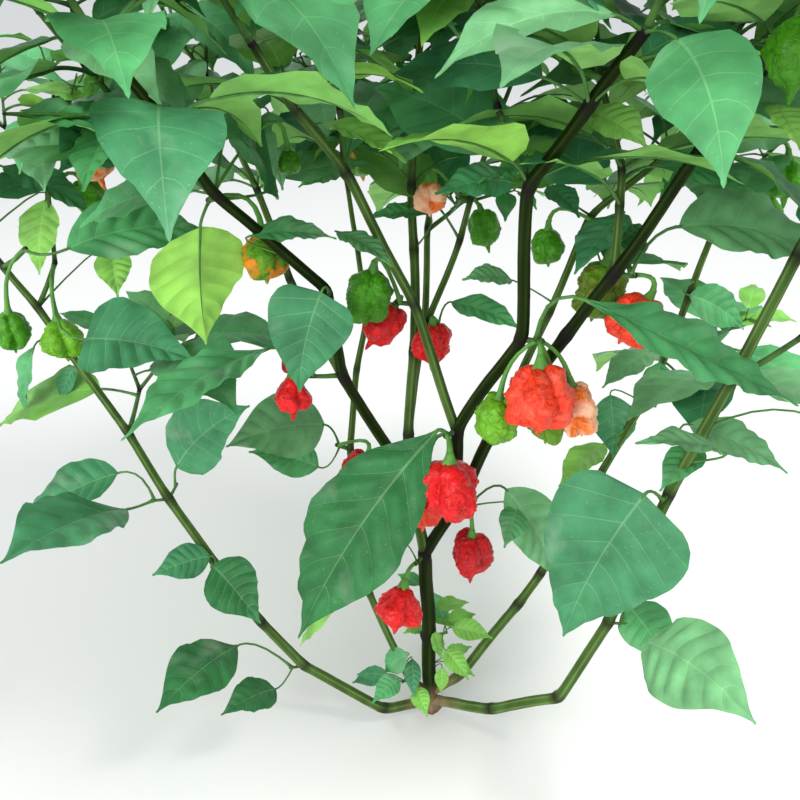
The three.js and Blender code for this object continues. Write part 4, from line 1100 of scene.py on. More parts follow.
class Finish:
    """One procedural material, with its Principled shader's sockets by name."""

    def __init__(self, name, **constants):
        self.material = bpy.data.materials.new(name)
        self.material.use_nodes = True
        self.tree = self.material.node_tree
        self.shader = self.tree.nodes["Principled BSDF"]
        for socket, value in constants.items():
            self.shader.inputs[socket.replace("_", " ").title().replace("Ior", "IOR")].default_value = value

    def add(self, kind, settings=(), inputs=(), output=0):
        """Adds a node: its settings first, then the values or links of its sockets."""
        node = self.tree.nodes.new(kind)
        for setting, value in dict(settings).items():
            setattr(node, setting, value)
        for socket, value in dict(inputs).items():
            if isinstance(value, Value):
                self.tree.links.new(value.socket, node.inputs[socket])
            elif isinstance(value, tuple) and len(value) == 3 and node.inputs[socket].type == "RGBA":
                node.inputs[socket].default_value = (*value, 1)
            else:
                node.inputs[socket].default_value = value
        return Value(self, node.outputs[output])

    def place(self, stretch=(1, 1, 1)):
        """Object coordinates, stretched."""
        place = self.add("ShaderNodeTexCoord", output="Object")
        return self.add("ShaderNodeMapping", inputs={"Vector": place, "Scale": stretch})

    def noise(self, scale, detail=2, stretch=(1, 1, 1), distortion=0):
        return self.add("ShaderNodeTexNoise", inputs={
            "Vector": self.place(stretch), "Scale": scale, "Detail": detail, "Distortion": distortion})

    def cells(self, scale):
        """How far a point lies from the edge of its cell."""
        return self.add("ShaderNodeTexVoronoi", {"feature": "DISTANCE_TO_EDGE"}, {
            "Vector": self.place(), "Scale": scale})

    def trait(self, name):
        return self.add("ShaderNodeAttribute", {"attribute_name": name}, output="Fac")

    def ramp(self, value, low, high):
        """A value that goes from 0 at low to 1 at high."""
        return self.add("ShaderNodeMapRange", inputs={
            "Value": value, "From Min": low, "From Max": high, "To Min": 0.0, "To Max": 1.0})

    def mix(self, share, first, second):
        return self.add("ShaderNodeMix", {"data_type": "RGBA"}, {0: share, 6: first, 7: second}, output=2)

    def feed(self, socket, value):
        self.tree.links.new(value.socket, self.shader.inputs[socket])

    def relief(self, height, strength, distance):
        bump = self.add("ShaderNodeBump", inputs={
            "Height": height, "Strength": strength, "Distance": distance})
        self.feed("Normal", bump)


def shade(colour, share):
    return tuple(channel * share for channel in colour)


def blend(first, second, share):
    return tuple(a + (b - a) * share for a, b in zip(first, second))


def leaf_finish(name, colour, dust, roughness):
    """A leaf's skin: softly mottled, puckered between its finest veins, with pale dust and specks."""
    finish = Finish(name, specular_ior_level=0.16)
    mottle = finish.ramp(finish.noise(48, 3), 0.34, 0.68)
    flesh = finish.mix(mottle, shade(colour, 0.76), shade(colour, 1.2))
    pale = blend(colour, (0.5, 0.6, 0.46), 0.55)
    film = finish.ramp(finish.noise(26, 4, distortion=0.4), 0.56, 0.8) * dust
    specks = finish.ramp(finish.noise(650, 1), 0.69, 0.77) * (0.6 * dust)
    finish.feed("Base Color", finish.mix(specks, finish.mix(film, flesh, pale), pale))
    finish.feed("Roughness", roughness + 0.16 * finish.noise(140, 2))
    net = finish.ramp(finish.cells(330), 0, 0.3)
    finish.relief(0.5 * finish.noise(420, 3) + 0.2 * net, 0.25, 0.0007)
    return finish.material


def stem_finish(name, bark, crest, knot, collar):
    """Bark that is dark in its furrows, pale on its ridges by painted highlight, and darkest at its joints.
    """
    finish = Finish(name, specular_ior_level=0.05)
    streaks = finish.ramp(finish.noise(120, 4, (1, 1, 0.12)), 0.36, 0.68)
    mottle = finish.ramp(finish.noise(40, 3, (1, 1, 0.5)), 0.4, 0.7)
    skin = finish.mix(streaks, shade(bark, 0.8), shade(bark, 1.3))
    skin = finish.mix(mottle * 0.3, skin, blend(bark, knot, 0.6))
    # The ridges' paler colour is a painted highlight.
    skin = finish.mix(finish.trait("crest") * (0.55 + 0.35 * streaks), skin, crest)
    skin = finish.mix(finish.trait("knot") * (0.7 + 0.3 * mottle), skin, knot)
    cork = finish.mix(streaks, shade(collar, 0.6), shade(collar, 1.25))
    skin = finish.mix(finish.trait("collar"), skin, cork)
    finish.feed("Base Color", skin)
    finish.feed("Roughness", 0.42 + 0.2 * mottle)
    finish.relief(finish.noise(260, 3, (1, 1, 0.2)) + 0.5 * finish.noise(900, 2), 0.35, 0.0007)
    return finish.material


def plain_stem_finish(name, colour, roughness):
    """A green stalk or twig with fine lengthwise streaks."""
    finish = Finish(name, specular_ior_level=0.18)
    streaks = finish.ramp(finish.noise(160, 3, (1, 1, 0.3)), 0.34, 0.7)
    finish.feed("Base Color", finish.mix(streaks, shade(colour, 0.72), shade(colour, 1.25)))
    finish.feed("Roughness", roughness + 0.14 * streaks)
    finish.relief(finish.noise(500, 3), 0.2, 0.0005)
    return finish.material


def fruit_finish(name, colour, patch_and_sheen, bare, share):
    """A lantern's glossy skin, blotched where it ripens, with painted shade along its creases, and crinkled
    all over. For some fruit the blotch is a painted highlight.
    """
    finish = Finish(name, specular_ior_level=0.2)
    blotch = finish.ramp(finish.noise(70, 3, distortion=0.5), bare, bare + 0.12)
    mottle = finish.ramp(finish.noise(210, 3), 0.3, 0.72)
    skin = finish.mix(mottle, shade(colour, 0.84), shade(colour, 1.12))
    fold = finish.noise(170, 2, distortion=0.5) - 0.5
    crease = finish.ramp(fold * fold, 0.0, 0.0022)
    # Painted shade: the colour darkens along the creases' lines.
    skin = finish.mix(0.35 + 0.65 * crease, shade(colour, 0.42), skin)
    finish.feed("Base Color", finish.mix(blotch * share, skin, patch_and_sheen))
    finish.feed("Roughness", 0.22 + 0.14 * finish.noise(300, 2))
    crinkles = finish.ramp(finish.cells(300), 0, 0.35)
    finish.relief(0.25 * finish.noise(420, 2) + 0.4 * crinkles + 0.6 * crease, 0.4, 0.0009)
    return finish.material


# A blade's skin, veins and underside beside its tint: brightness, blended colour and its share, dust
# and roughness
# An underside is the blade's own paler green, and its brightening and yellow-green blend are also painted
# light shining through the blade.
BLADE_FINISHES = {"leaf": (1, (0, 0, 0), 0, 0.5, 0.4), "vein": (1.12, (0.5, 0.62, 0.36), 0.14, 0.2, 0.42),
                  "under": (1.2, (0.3, 0.6, 0.08), 0.55, 0.15, 0.55)}


@functools.cache
def finish_named(kind, name):
    """The material of a kind and tint, made once from the settings."""
    leaf = bpy.context.scene.plant_leaf
    fruit = bpy.context.scene.plant_fruit
    stem = bpy.context.scene.plant_stem
    if kind in BLADE_FINISHES:
        brightness, other, share, dust, roughness = BLADE_FINISHES[kind]
        colour = blend(shade(tuple(getattr(leaf, name)), brightness), other, share)
        return leaf_finish(kind + "_" + name, colour, dust, roughness)
    if kind == "fruit":
        colour = tuple(getattr(fruit, name))
        # Scarlet's pinkish patch is a painted highlight, and orange's pale cream patch is partly the
        # fruit's own cream, partly painted highlight; the other patches are the fruit's own colour.
        patches_and_sheens = {"turning": ((0.9, 0.26, 0.02), 0.47, 0.9), "olive": (tuple(fruit.green), 0.46, 0.5),
                   "orange": ((1, 0.66, 0.46), 0.45, 0.68), "green": (shade(colour, 0.62), 0.42, 0.6),
                   "lime": (shade(colour, 0.7), 0.46, 0.5), "scarlet": ((0.95, 0.19, 0.12), 0.47, 0.35)}
        patch_and_sheen, bare, share = patches_and_sheens.get(name, (shade(colour, 0.6), 0.5, 0.3))
        return fruit_finish("fruit_" + name, colour, patch_and_sheen, bare, share)
    if kind == "bark":
        bark, crest = (stem.bark, stem.crest) if name == "dark" else (stem.green_bark, stem.green_ridge_and_highlight)
        return stem_finish(name + "_bark", tuple(bark), tuple(crest), tuple(stem.knot), tuple(stem.collar))
    colour = {"twig": stem.twig, "fork": stem.knot, "node": blend(stem.twig, stem.knot, 0.5),
              "petiole": stem.petiole, "stalk": stem.stalk}[name]
    return plain_stem_finish(name, tuple(colour), 0.46)


# Settings that a user would change
def colour_setting(name, description, default):
    return bpy.props.FloatVectorProperty(name=name, description=description, default=default,
                                         subtype="COLOR", size=3, min=0, max=1)


class PlantStemSettings(bpy.types.PropertyGroup):
    """Sizes and colours of the trunk, boughs, twigs and stalks."""
    ring_spacing: bpy.props.FloatProperty(
        name="Ring spacing", description="How far apart the rings of a bough are", default=0.004,
        min=0.001, unit="LENGTH")
    ridges: bpy.props.IntProperty(
        name="Ridges", description="How many lengthwise ridges a bough has", default=5, min=3, max=8)
    ridge_relief: bpy.props.FloatProperty(
        name="Ridge relief", description="A ridge's height as a share of the radius", default=0.1,
        min=0, max=0.4, subtype="FACTOR")
    bark: colour_setting("Bark", "Colour between a dark bough's ridges", (0.008, 0.017, 0.002))
    # The two ridge colours, here and for the green boughs, are painted highlights on the ridges.
    crest: colour_setting("Ridge", "Colour on a dark bough's ridges", (0.03, 0.06, 0.006))
    green_bark: colour_setting("Green bark", "Colour between a green bough's ridges", (0.058, 0.108, 0.024))
    green_ridge_and_highlight: colour_setting("Green ridge", "Colour on a green bough's ridges", (0.15, 0.275, 0.07))
    knot: colour_setting("Joint", "Colour at the joints", (0.014, 0.009, 0.012))
    collar: colour_setting("Foot", "Colour of the corky foot", (0.22, 0.15, 0.085))
    twig: colour_setting("Twig", "Colour of the twigs", (0.06, 0.14, 0.03))
    petiole: colour_setting("Petiole", "Colour of the leaves' stalks", (0.075, 0.2, 0.05))
    stalk: colour_setting("Fruit stalk", "Colour of the fruit's stalks and caps", (0.1, 0.28, 0.05))


class PlantLeafSettings(bpy.types.PropertyGroup):
    """Sizes and colours of the leaves."""
    thickness: bpy.props.FloatProperty(
        name="Thickness", description="A blade's thickness", default=0.0005, min=0.0001, unit="LENGTH")
    vein_width: bpy.props.FloatProperty(
        name="Vein width", description="Width of a side vein", default=0.0006, min=0.0001, unit="LENGTH")
    quilting: bpy.props.FloatProperty(
        name="Quilting", description="Bulge between veins as a share of the length", default=0.014,
        min=0, max=0.05, subtype="FACTOR")
    margin_wave: bpy.props.FloatProperty(
        name="Margin wave", description="Wave of the margin as a share of the length", default=0.02,
        min=0, max=0.1, subtype="FACTOR")
    # Deep, middle and light are darker and lighter copies of one green. Light is painted light for leaves
    # in full light, and deep is partly the leaves' own darker green, partly painted shade.
    deep: colour_setting("Deep", "The darkest leaves", (0.027, 0.146, 0.044))
    mid: colour_setting("Middle", "Most of the leaves", (0.052, 0.22, 0.095))
    light: colour_setting("Light", "Leaves in full light", (0.083, 0.32, 0.12))
    dusty: colour_setting("Dusty", "Leaves with a pale bloom", (0.16, 0.4, 0.18))
    fresh: colour_setting("Fresh", "Yellowish leaves", (0.26, 0.55, 0.11))
    young: colour_setting("Young", "Young leaves at the tips", (0.17, 0.42, 0.07))


class PlantFruitSettings(bpy.types.PropertyGroup):
    """Sizes and colours of the fruit."""
    relief: bpy.props.FloatProperty(
        name="Relief", description="Height of the wrinkles as a share of the radius", default=0.19,
        min=0, max=0.5, subtype="FACTOR")
    furrow: bpy.props.FloatProperty(
        name="Furrows", description="Depth of the furrows between lobes as a share of the radius",
        default=0.34, min=0, max=0.5, subtype="FACTOR")
    red: colour_setting("Red", "Ripe fruit", (0.76, 0.013, 0.015))
    # This red is a painted shade: a darker copy of red for fruit in shade.
    crimson: colour_setting("Crimson", "Ripe fruit in shade", (0.52, 0.007, 0.01))
    scarlet: colour_setting("Scarlet", "Fruit that is nearly ripe", (0.92, 0.05, 0.02))
    orange: colour_setting("Orange", "Fruit that is half ripe", (0.93, 0.19, 0.03))
    green: colour_setting("Green", "Unripe fruit", (0.07, 0.3, 0.012))
    # This green is the fruit's own lime green with painted light: a lighter copy for fruit in full light.
    lime: colour_setting("Lime", "Unripe fruit in full light", (0.15, 0.42, 0.02))
    olive: colour_setting("Olive", "Fruit that begins to turn", (0.15, 0.22, 0.015))
    turning: colour_setting("Turning", "Fruit between green and orange", (0.1, 0.3, 0.015))


class PlantStageSettings(bpy.types.PropertyGroup):
    """The floor, the light and the camera."""
    floor: colour_setting("Floor", "Colour of the floor", (0.62, 0.62, 0.6))
    key_power: bpy.props.FloatProperty(
        name="Key light", description="Power of the main light", default=37, min=0, unit="POWER")
    fill_power: bpy.props.FloatProperty(
        name="Fill light", description="Power of the fill light", default=36, min=0, unit="POWER")
    sky: bpy.props.FloatProperty(
        name="Sky", description="Strength of the light from all round", default=1.14, min=0)
    focal_length: bpy.props.FloatProperty(
        name="Focal length", description="Lens of the camera in millimetres", default=CAMERA_LENS, min=10)
    pitch: bpy.props.FloatProperty(
        name="Pitch", description="How far the camera looks down", default=math.radians(CAMERA_PITCH),
        subtype="ANGLE")


# Stems
JOINT_REACH = 0.005
KNOT_REACH = 0.005
GIRTHS = {"trunk": 1.14, "low_left_stem": 0.9, "low_right_front_stem": 0.86}
GIRTH = 1.04
DARK_LIMBS = ("trunk", "right_leader", "middle_bough", "left_bough")
END_CAP = ((0.35, 0.93), (0.65, 0.74), (0.85, 0.48))
CORNER_ROUNDS = 3
STEM_SIDES = 20
STEM_WAVE = 0.0006
COLLAR_HEIGHT = 0.03
FLARE_BEND = 1.6
SWAY_PITCH = 55
STILL_END = 0.03
RIDGE_TWIST = 0.9
TWIST_PITCH = 9
CREST_MEAN = 0.35
LUMP_PITCH = 140
LUMP_ROUND = 0.6
LUMP_RELIEF = 0.035


def limb_path(limb, spacing):
    """A limb's rounded path, with each point's distance from the start."""
    points = [limb["joints"][0]]
    for before, after in zip(limb["joints"], limb["joints"][1:]):
        steps = max(int(np.linalg.norm(after - before) / spacing), 4)
        points.extend(before + (after - before) * step / steps for step in range(1, steps + 1))
    points = np.array(points)
    for _ in range(CORNER_ROUNDS):
        points[1:-1] = (points[:-2] + 2 * points[1:-1] + points[2:]) / 4
    places = np.concatenate(((0,), np.cumsum(np.linalg.norm(np.diff(points, axis=0), axis=1))))
    return points, places


def add_limb(batch, limb, settings):
    points, places = limb_path(limb, settings.ring_spacing)
    links = [length for length, _, _ in limb["links"]]
    joint_places = np.concatenate(((0,), np.cumsum(links))) * places[-1] / sum(links)
    share = np.interp(places, joint_places, np.arange(len(joint_places)) / len(links))
    girth = GIRTHS.get(limb["name"], GIRTH)
    radii = girth * (limb["radius"][0] + (limb["radius"][1] - limb["radius"][0]) * share)
    gap = np.abs(places[:, None] - joint_places[None])
    radii = radii * (1 + (NODE_SWELL - 1) * np.exp(-(gap[:, 1:-1].min(1) / JOINT_REACH) ** 2))
    knot = np.exp(-(gap.min(1) / KNOT_REACH) ** 2)
    collar = np.zeros(len(places))
    if "on" not in limb:
        flare = np.clip(1 - places / FLARE_HEIGHT, 0, 1) ** FLARE_BEND
        radii = radii + (FLARE_RADIUS - limb["radius"][0]) * flare
    if "lift" in limb or "on" not in limb:
        collar = np.clip(1.2 - places / COLLAR_HEIGHT, 0, 1)
        knot = knot * (1 - collar)
    throw = dice(len(limb["name"]), 3)
    sway = np.stack([np.sin(places * SWAY_PITCH + 6 * throw()) for _ in range(3)], -1)
    ends = np.minimum(places, places[-1] - places)
    points = points + STEM_WAVE * sway * np.clip(ends / STILL_END, 0, 1)[:, None]
    heading = unit(points[-1] - points[-2])
    cap = [points[-1] + heading * radii[-1] * reach for reach, _ in END_CAP]
    points = np.concatenate((points, cap))
    radii = np.concatenate((radii, [radii[-1] * share for _, share in END_CAP]))
    places = np.concatenate((places, np.full(len(cap), places[-1])))
    knot = np.concatenate((knot, np.full(len(cap), knot[-1])))
    collar = np.concatenate((collar, np.zeros(len(cap))))
    angles = 2 * math.pi * np.arange(STEM_SIDES) / STEM_SIDES
    twist = RIDGE_TWIST * np.sin(places * TWIST_PITCH + 5 * throw())
    # Where the ridges stand, which also places the bark's painted highlight.
    crest = np.maximum(np.cos(settings.ridges * (angles[None] + 0.35 * twist[:, None])), 0) ** 2
    crest = crest * (1 - 0.6 * knot[:, None])
    rounds = [Vector((math.cos(angle), math.sin(angle), 0)) * LUMP_ROUND for angle in angles]
    bumps = np.array([[noise.noise(Vector(point * LUMP_PITCH) + around) for around in rounds]
                      for point in points])
    shape = 1 + settings.ridge_relief * (crest - CREST_MEAN) + LUMP_RELIEF * bumps
    rough = 1 + 0.5 * (knot + collar)[:, None] * bumps * 0.3
    add_tube(batch, points, radii, STEM_SIDES, 0, shape * rough, crest=crest,
             knot=np.repeat(knot, STEM_SIDES), collar=np.repeat(collar, STEM_SIDES))


class PLANT_OT_stems(bpy.types.Operator):
    """Grow the trunk and the boughs, ridged and dark at their joints"""
    bl_idname = "plant.stems"
    bl_label = "Grow the trunk and boughs"

    def execute(self, context):
        for name, limb in plant_growth().limbs.items():
            batch = Batch()
            add_limb(batch, limb, context.scene.plant_stem)
            finish = finish_named("bark", "dark" if name in DARK_LIMBS else "green")
            piece = batch.build(name + "_bark", [finish])
            if "on" not in limb:
                flatten_foot(piece.data)
            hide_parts(name)
        return {"FINISHED"}


def flatten_foot(mesh):
    """The foot stands flat on the ground."""
    for vertex in mesh.vertices:
        vertex.co.z = max(vertex.co.z, 0)


# Twigs
TWIG_SIDES = 8
FORK_LENGTH = 0.0022
NODE_LENGTH = 0.0046
FORK_SWELL = 1.18
TWIG_ARCH = 0.03
SPUR_GIRTH = 0.66


def twig_path(twig):
    """Points, radii and the finish of each stretch: 0 at a fork, 1 near it and 2 between forks."""
    points, radii, finishes = [], [], []
    path = twig["points"]
    tip = 2 if twig["spur"] else 1
    for start, end, first, last in zip(path, path[1:], twig["radii"], twig["radii"][1:]):
        length = np.linalg.norm(end - start)
        fork = min(FORK_LENGTH / length, 0.16)
        node = min(NODE_LENGTH / length, 0.32)
        arch = 0 if length < 2 * NODE_LENGTH else TWIG_ARCH * length
        for share, swell, finish in ((0, FORK_SWELL, 0), (fork, 1.04, 1), (node, 0.97, 2), (0.5, 0.95, 2),
                                     (1 - node, 0.98, tip), (1 - fork, 1.06, 2 * tip - 2)):
            sag = np.array((0, 0, arch * 4 * share * (1 - share)))
            points.append(start + (end - start) * share - sag)
            radii.append((first + (last - first) * share) * swell)
            finishes.append(finish)
    points.append(path[-1])
    radii.append(twig["radii"][-1] * (0.7 if twig["fine"] else FORK_SWELL))
    if not twig["fine"]:
        points.append(path[-1] + unit(path[-1] - path[-2]) * twig["radii"][-1] * 0.7)
        radii.append(twig["radii"][-1] * 0.6)
        finishes.append(tip)
    return np.array(points), radii, finishes


class PLANT_OT_twigs(bpy.types.Operator):
    """Grow the twigs, dark at their forks"""
    bl_idname = "plant.twigs"
    bl_label = "Grow the twigs"

    def execute(self, context):
        batch = Batch()
        for twig in plant_growth().twigs:
            points, radii, finishes = twig_path(twig)
            add_tube(batch, points, radii, TWIG_SIDES,
                     2 if twig["fine"] else np.repeat(finishes, TWIG_SIDES))
        finishes = [finish_named("stem", name) for name in ("fork", "node", "twig")]
        piece = batch.build("twigs", finishes)
        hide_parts(*[spec["name"] for spec in MASSES])
        return {"FINISHED"}


# Leaf blades
SWEEP = 0.46
MIDRIB_HALF = 0.0008
BASE_HALF = 0.0009
LEAF_FORMS = {
    "set": {"veins": 6, "columns": (0.16, 0.34, 0.52, 0.7, 0.86), "pillow": (0.9, 1.5, 1.05),
            "opening": (0, 0.004, 0.012, 0.026), "closing": (0.9, 0.94, 0.975)},
    "grown": {"veins": 5, "columns": (0.3, 0.55, 0.8), "pillow": (1,), "opening": (0, 0.006, 0.02),
              "closing": (0.91, 0.96)},
    "young": {"veins": 3, "columns": (0.5,), "pillow": (1,), "opening": (0, 0.02), "closing": (0.92,)},
}
VEIN_TAPER = 0.7
VEIN_FORWARD = 0.35
VEIN_STAGGER = 0.3
SWEEP_PLAY = 0.08
SWEEP_BEND = 1.15
LEAN_PLAY = 0.08
RIB_LEAF = 0.11
RIB_MOST = 0.45
FOLD_EASE = (0.35, 0.25)
MARGIN_TURNS = (2.2, 1.8)
RIPPLE_TURNS = 2.7
RIPPLE_SHARE = 0.4
MARGIN_REACH = 2.4
BLADE_TWIST = 14
STILL_PLACE = 0.35
TINTS = ("deep", "mid", "light", "dusty", "fresh", "young")
YOUNG_TINTS = ("young", "light", "mid", "light", "young", "light", "dusty")
# The grown leaves mostly take the light tint, a painted light that brightens the crown.
GROWN_TINTS = ("light", "light", "dusty", "light", "young", "mid", "dusty", "light", "mid")


@functools.cache
def leaf_grid(kind):
    """Rows along the midrib and columns across it, with the side veins as pairs of near rows."""
    form = LEAF_FORMS[kind]
    rows = [(place, 0, 0) for place in form["opening"]]
    count = form["veins"]
    veins = [0.045 + 0.8 * ((k + 0.25) / count) ** 1.08 for k in range(count)]
    for k, vein in enumerate(veins):
        rows.extend(((vein, -1, -0.5), (vein, 1, -0.5)))
        after = veins[k + 1] if k + 1 < count else form["closing"][0]
        for step, bulge in enumerate(form["pillow"], 1):
            rows.append((vein + (after - vein) * step / (len(form["pillow"]) + 1), 0, bulge))
    rows.extend((place, 0, 0) for place in form["closing"])
    columns = [-1, *(-place for place in reversed(form["columns"])), -0.5, 0.5, *form["columns"], 1]
    is_rib = [0] * len(columns)
    middle = len(columns) // 2
    is_rib[middle - 1] = -1
    is_rib[middle] = 1
    return np.array(rows), np.array(columns, float), np.array(is_rib)


def add_blade(batch, leaf, settings, finishes):
    """A blade of two skins that meet at its margin. Finishes are its skin, vein and underside."""
    rows, columns, is_rib = leaf_grid(leaf["kind"])
    throw = dice(leaf["number"], BLADE_PATH)
    length = leaf["length"]
    magnitude = np.where(is_rib, 0.0, np.abs(columns))
    sign = np.sign(columns)
    place, edge, bulge = (rows[:, k][:, None] for k in range(3))
    spread = settings.vein_width / 2 / length
    here = place + edge * spread * (1 - VEIN_TAPER * magnitude[None])
    veins = LEAF_FORMS[leaf["kind"]]["veins"]
    offset = VEIN_FORWARD / veins * np.sin(math.pi * place) * np.minimum(magnitude * 4, 1)
    here = np.clip(here + VEIN_STAGGER * offset * sign[None], 0, 1)
    sweep = SWEEP + SWEEP_PLAY * (throw() - 0.5)
    t = here + sweep * magnitude[None] ** SWEEP_BEND * np.sqrt(here) * (1 - here)
    point, _, across, lifted = arc_frames(leaf, t)
    lean = 1 + LEAN_PLAY * (throw() - 0.5) * sign[None]
    half = np.maximum(blade_half_width(t, leaf, leaf["form"]) * lean, BASE_HALF)
    rib = np.minimum(MIDRIB_HALF * (1.05 - t) * (0.5 + 0.5 * length / RIB_LEAF), RIB_MOST * half)
    x = np.where(is_rib[None] == 0, columns[None] * half, is_rib[None] * rib)
    reach = np.abs(x)
    middle = np.sin(math.pi * np.clip(t, 0.02, 0.98)) ** 0.6
    ease = pick(FOLD_EASE, throw)
    lift = math.tan(math.radians(FOLD)) * reach * (1 - ease * magnitude[None])
    pillow = np.sin(math.pi * np.clip(magnitude, 0, 0.92)) ** 0.7
    puff = settings.quilting * length * bulge * middle * pillow
    turns = pick(MARGIN_TURNS, throw)
    wave = np.sin(2 * math.pi * (turns * t + throw() + 0.25 * sign[None]))
    ripple = np.sin(2 * math.pi * (turns * RIPPLE_TURNS * t + throw() + 0.5 * sign[None]))
    wave = (settings.margin_wave * length * (wave + RIPPLE_SHARE * ripple)
            * magnitude[None] ** MARGIN_REACH * middle)
    twist = math.radians(BLADE_TWIST) * (throw() - 0.5) * (t - STILL_PLACE)
    height = lift + puff + wave
    turned_x = x * np.cos(twist) - height * np.sin(twist)
    turned_height = x * np.sin(twist) + height * np.cos(twist)
    top = point + turned_x[..., None] * across + turned_height[..., None] * lifted
    depth = settings.thickness * (1 - magnitude ** 6)
    depth = np.where(np.abs(columns) == 1, 0, depth)[None] * np.where(place > 0, 1, 0)
    bottom = top - depth[..., None] * lifted
    tip = arc_frames(leaf, np.array(1.0))[0]
    count, width = t.shape
    quads = grid_faces(count, width, False)
    row_is_vein = (edge[:-1, 0] < 0) & (edge[1:, 0] > 0)
    column_is_rib = (is_rib[:-1] < 0) & (is_rib[1:] > 0)
    is_vein = (row_is_vein[:, None] | column_is_rib[None]).ravel()
    skin, vein, under = finishes
    upper = (top, -1, np.where(is_vein, vein, skin), np.where(column_is_rib, vein, skin))
    for points, way, finish, end_finish in (upper, (bottom, 1, under, under)):
        start = batch.put(points)
        end = batch.put(tip)
        batch.face(start + (quads if way > 0 else quads[:, (0, 3, 2, 1)]), finish)
        last = start + (count - 1) * width + np.arange(width)
        pair = (last[:-1], last[1:])[::way]
        batch.face(np.stack((*pair, np.full(width - 1, end)), -1), end_finish)


def tint_of(leaf):
    if leaf["tint"] and leaf["kind"] != "young":
        return leaf["tint"]
    tints = YOUNG_TINTS if leaf["kind"] == "young" else GROWN_TINTS
    spray = sum(ord(letter) for letter in leaf["mass"]) + leaf["number"] // 3
    return tints[spray % len(tints)]


def grow_blades(prefix, is_young, settings):
    """One piece of blades for each side of the plant that has them."""
    finishes = [finish_named(kind, tint) for tint in TINTS for kind in BLADE_FINISHES]
    for region in REGIONS:
        leaves = [leaf for leaf in plant_growth().leaves
                  if (leaf["kind"] == "young") == is_young and region_of(leaf["mass"]) == region]
        if not leaves:
            continue
        batch = Batch()
        for leaf in leaves:
            first = len(BLADE_FINISHES) * TINTS.index(tint_of(leaf))
            add_blade(batch, leaf, settings, (first, first + 1, first + 2))
        piece = batch.build(prefix + region, finishes)
        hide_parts(*masses_of(region))


class PLANT_OT_leaves(bpy.types.Operator):
    """Grow the full-size leaves, one piece for each side of the plant"""
    bl_idname = "plant.leaves"
    bl_label = "Grow the leaves"

    def execute(self, context):
        grow_blades("leaves_", False, context.scene.plant_leaf)
        return {"FINISHED"}


class PLANT_OT_young_leaves(bpy.types.Operator):
    """Grow the young leaves at the tips of the twigs"""
    bl_idname = "plant.young_leaves"
    bl_label = "Grow the young leaves"

    def execute(self, context):
        grow_blades("young_leaves_", True, context.scene.plant_leaf)
        return {"FINISHED"}


# Petioles, which run on as the ribs under the blades
PETIOLE_SIDES = 6
RIB_SHARES = (0.06, 0.18, 0.34, 0.52, 0.7, 0.85)
RIB_DEPTH = 1.2
RIB_GIRTH = 0.85
PETIOLE_RADIUS = 0.00035
PETIOLE_RADIUS_SHARE = 0.0066
PETIOLE_SHARES = (0, 0.08, 0.2, 0.4, 0.6, 0.8, 0.95)
PETIOLE_SWELLS = (1.7, 1.25, 1.0, 0.95, 0.92, 0.95, 1.0)


def add_petiole(batch, leaf):
    length = leaf["length"]
    radius = PETIOLE_RADIUS + PETIOLE_RADIUS_SHARE * length
    base, along, _, _ = arc_frames(leaf, np.array(0.0))
    reach = np.linalg.norm(base - leaf["root"])
    control = base - along * PETIOLE_ARCH * reach
    points = curve_points(leaf["root"], control, base, np.array(PETIOLE_SHARES))
    radii = radius * np.array(PETIOLE_SWELLS)
    ribs = np.array(RIB_SHARES)
    under, _, _, lifted = arc_frames(leaf, ribs)
    rib_radii = radius * RIB_GIRTH * (1 - ribs) ** 0.8
    under = under - lifted * (rib_radii * RIB_DEPTH)[:, None]
    add_tube(batch, np.concatenate((points, under)), np.concatenate((radii, rib_radii)),
             PETIOLE_SIDES, 0)


class PLANT_OT_petioles(bpy.types.Operator):
    """Join every leaf to its twig with a petiole that runs on as its rib"""
    bl_idname = "plant.petioles"
    bl_label = "Grow the petioles"

    def execute(self, context):
        batch = Batch()
        for leaf in plant_growth().leaves:
            add_petiole(batch, leaf)
        piece = batch.build("petioles", [finish_named("stem", "petiole")])
        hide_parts(*[spec["name"] for spec in MASSES])
        return {"FINISHED"}


# Fruit
# Where a fruit is widest, how sharply it rounds, how far its tail is drawn out and its lobes hang
FRUIT_FORMS = {"dome": (0.42, 0.5, 0.16, 0.1), "cone": (0.5, 0.62, 0.06, 0.2),
               "pear": (0.6, 0.62, 0.22, 0.1), "block": (0.5, 0.4, 0.04, 0.16)}
FRUIT_END = 0.94
TAIL_WIDTH = 0.2
TAIL_REACH = 0.3
DIMPLE = 0.07
CROWN = 0.15
FRUIT_CELL = (0.0013, 0.0014)
FRUIT_SIDES = (40, 104)
FRUIT_ROWS = (28, 60)
GROWN_FRUIT_GRID = (44, 30)
FEWEST_LOBES = 3
LOBE_PLAY = 1.7
LOBE_HANG = (0.25, 0.9)
LOBE_BULGE = (-0.04, 0.14)
SHOULDER = 0.35
LOWER_PART = 0.4
LOPSIDED = 0.06
NOISE_SHIFT = 9
WRINKLE_WIDTH = 0.034
RIPE = ("red", "crimson", "scarlet", "orange")
UNRIPE = ("green", "lime", "olive", "turning")


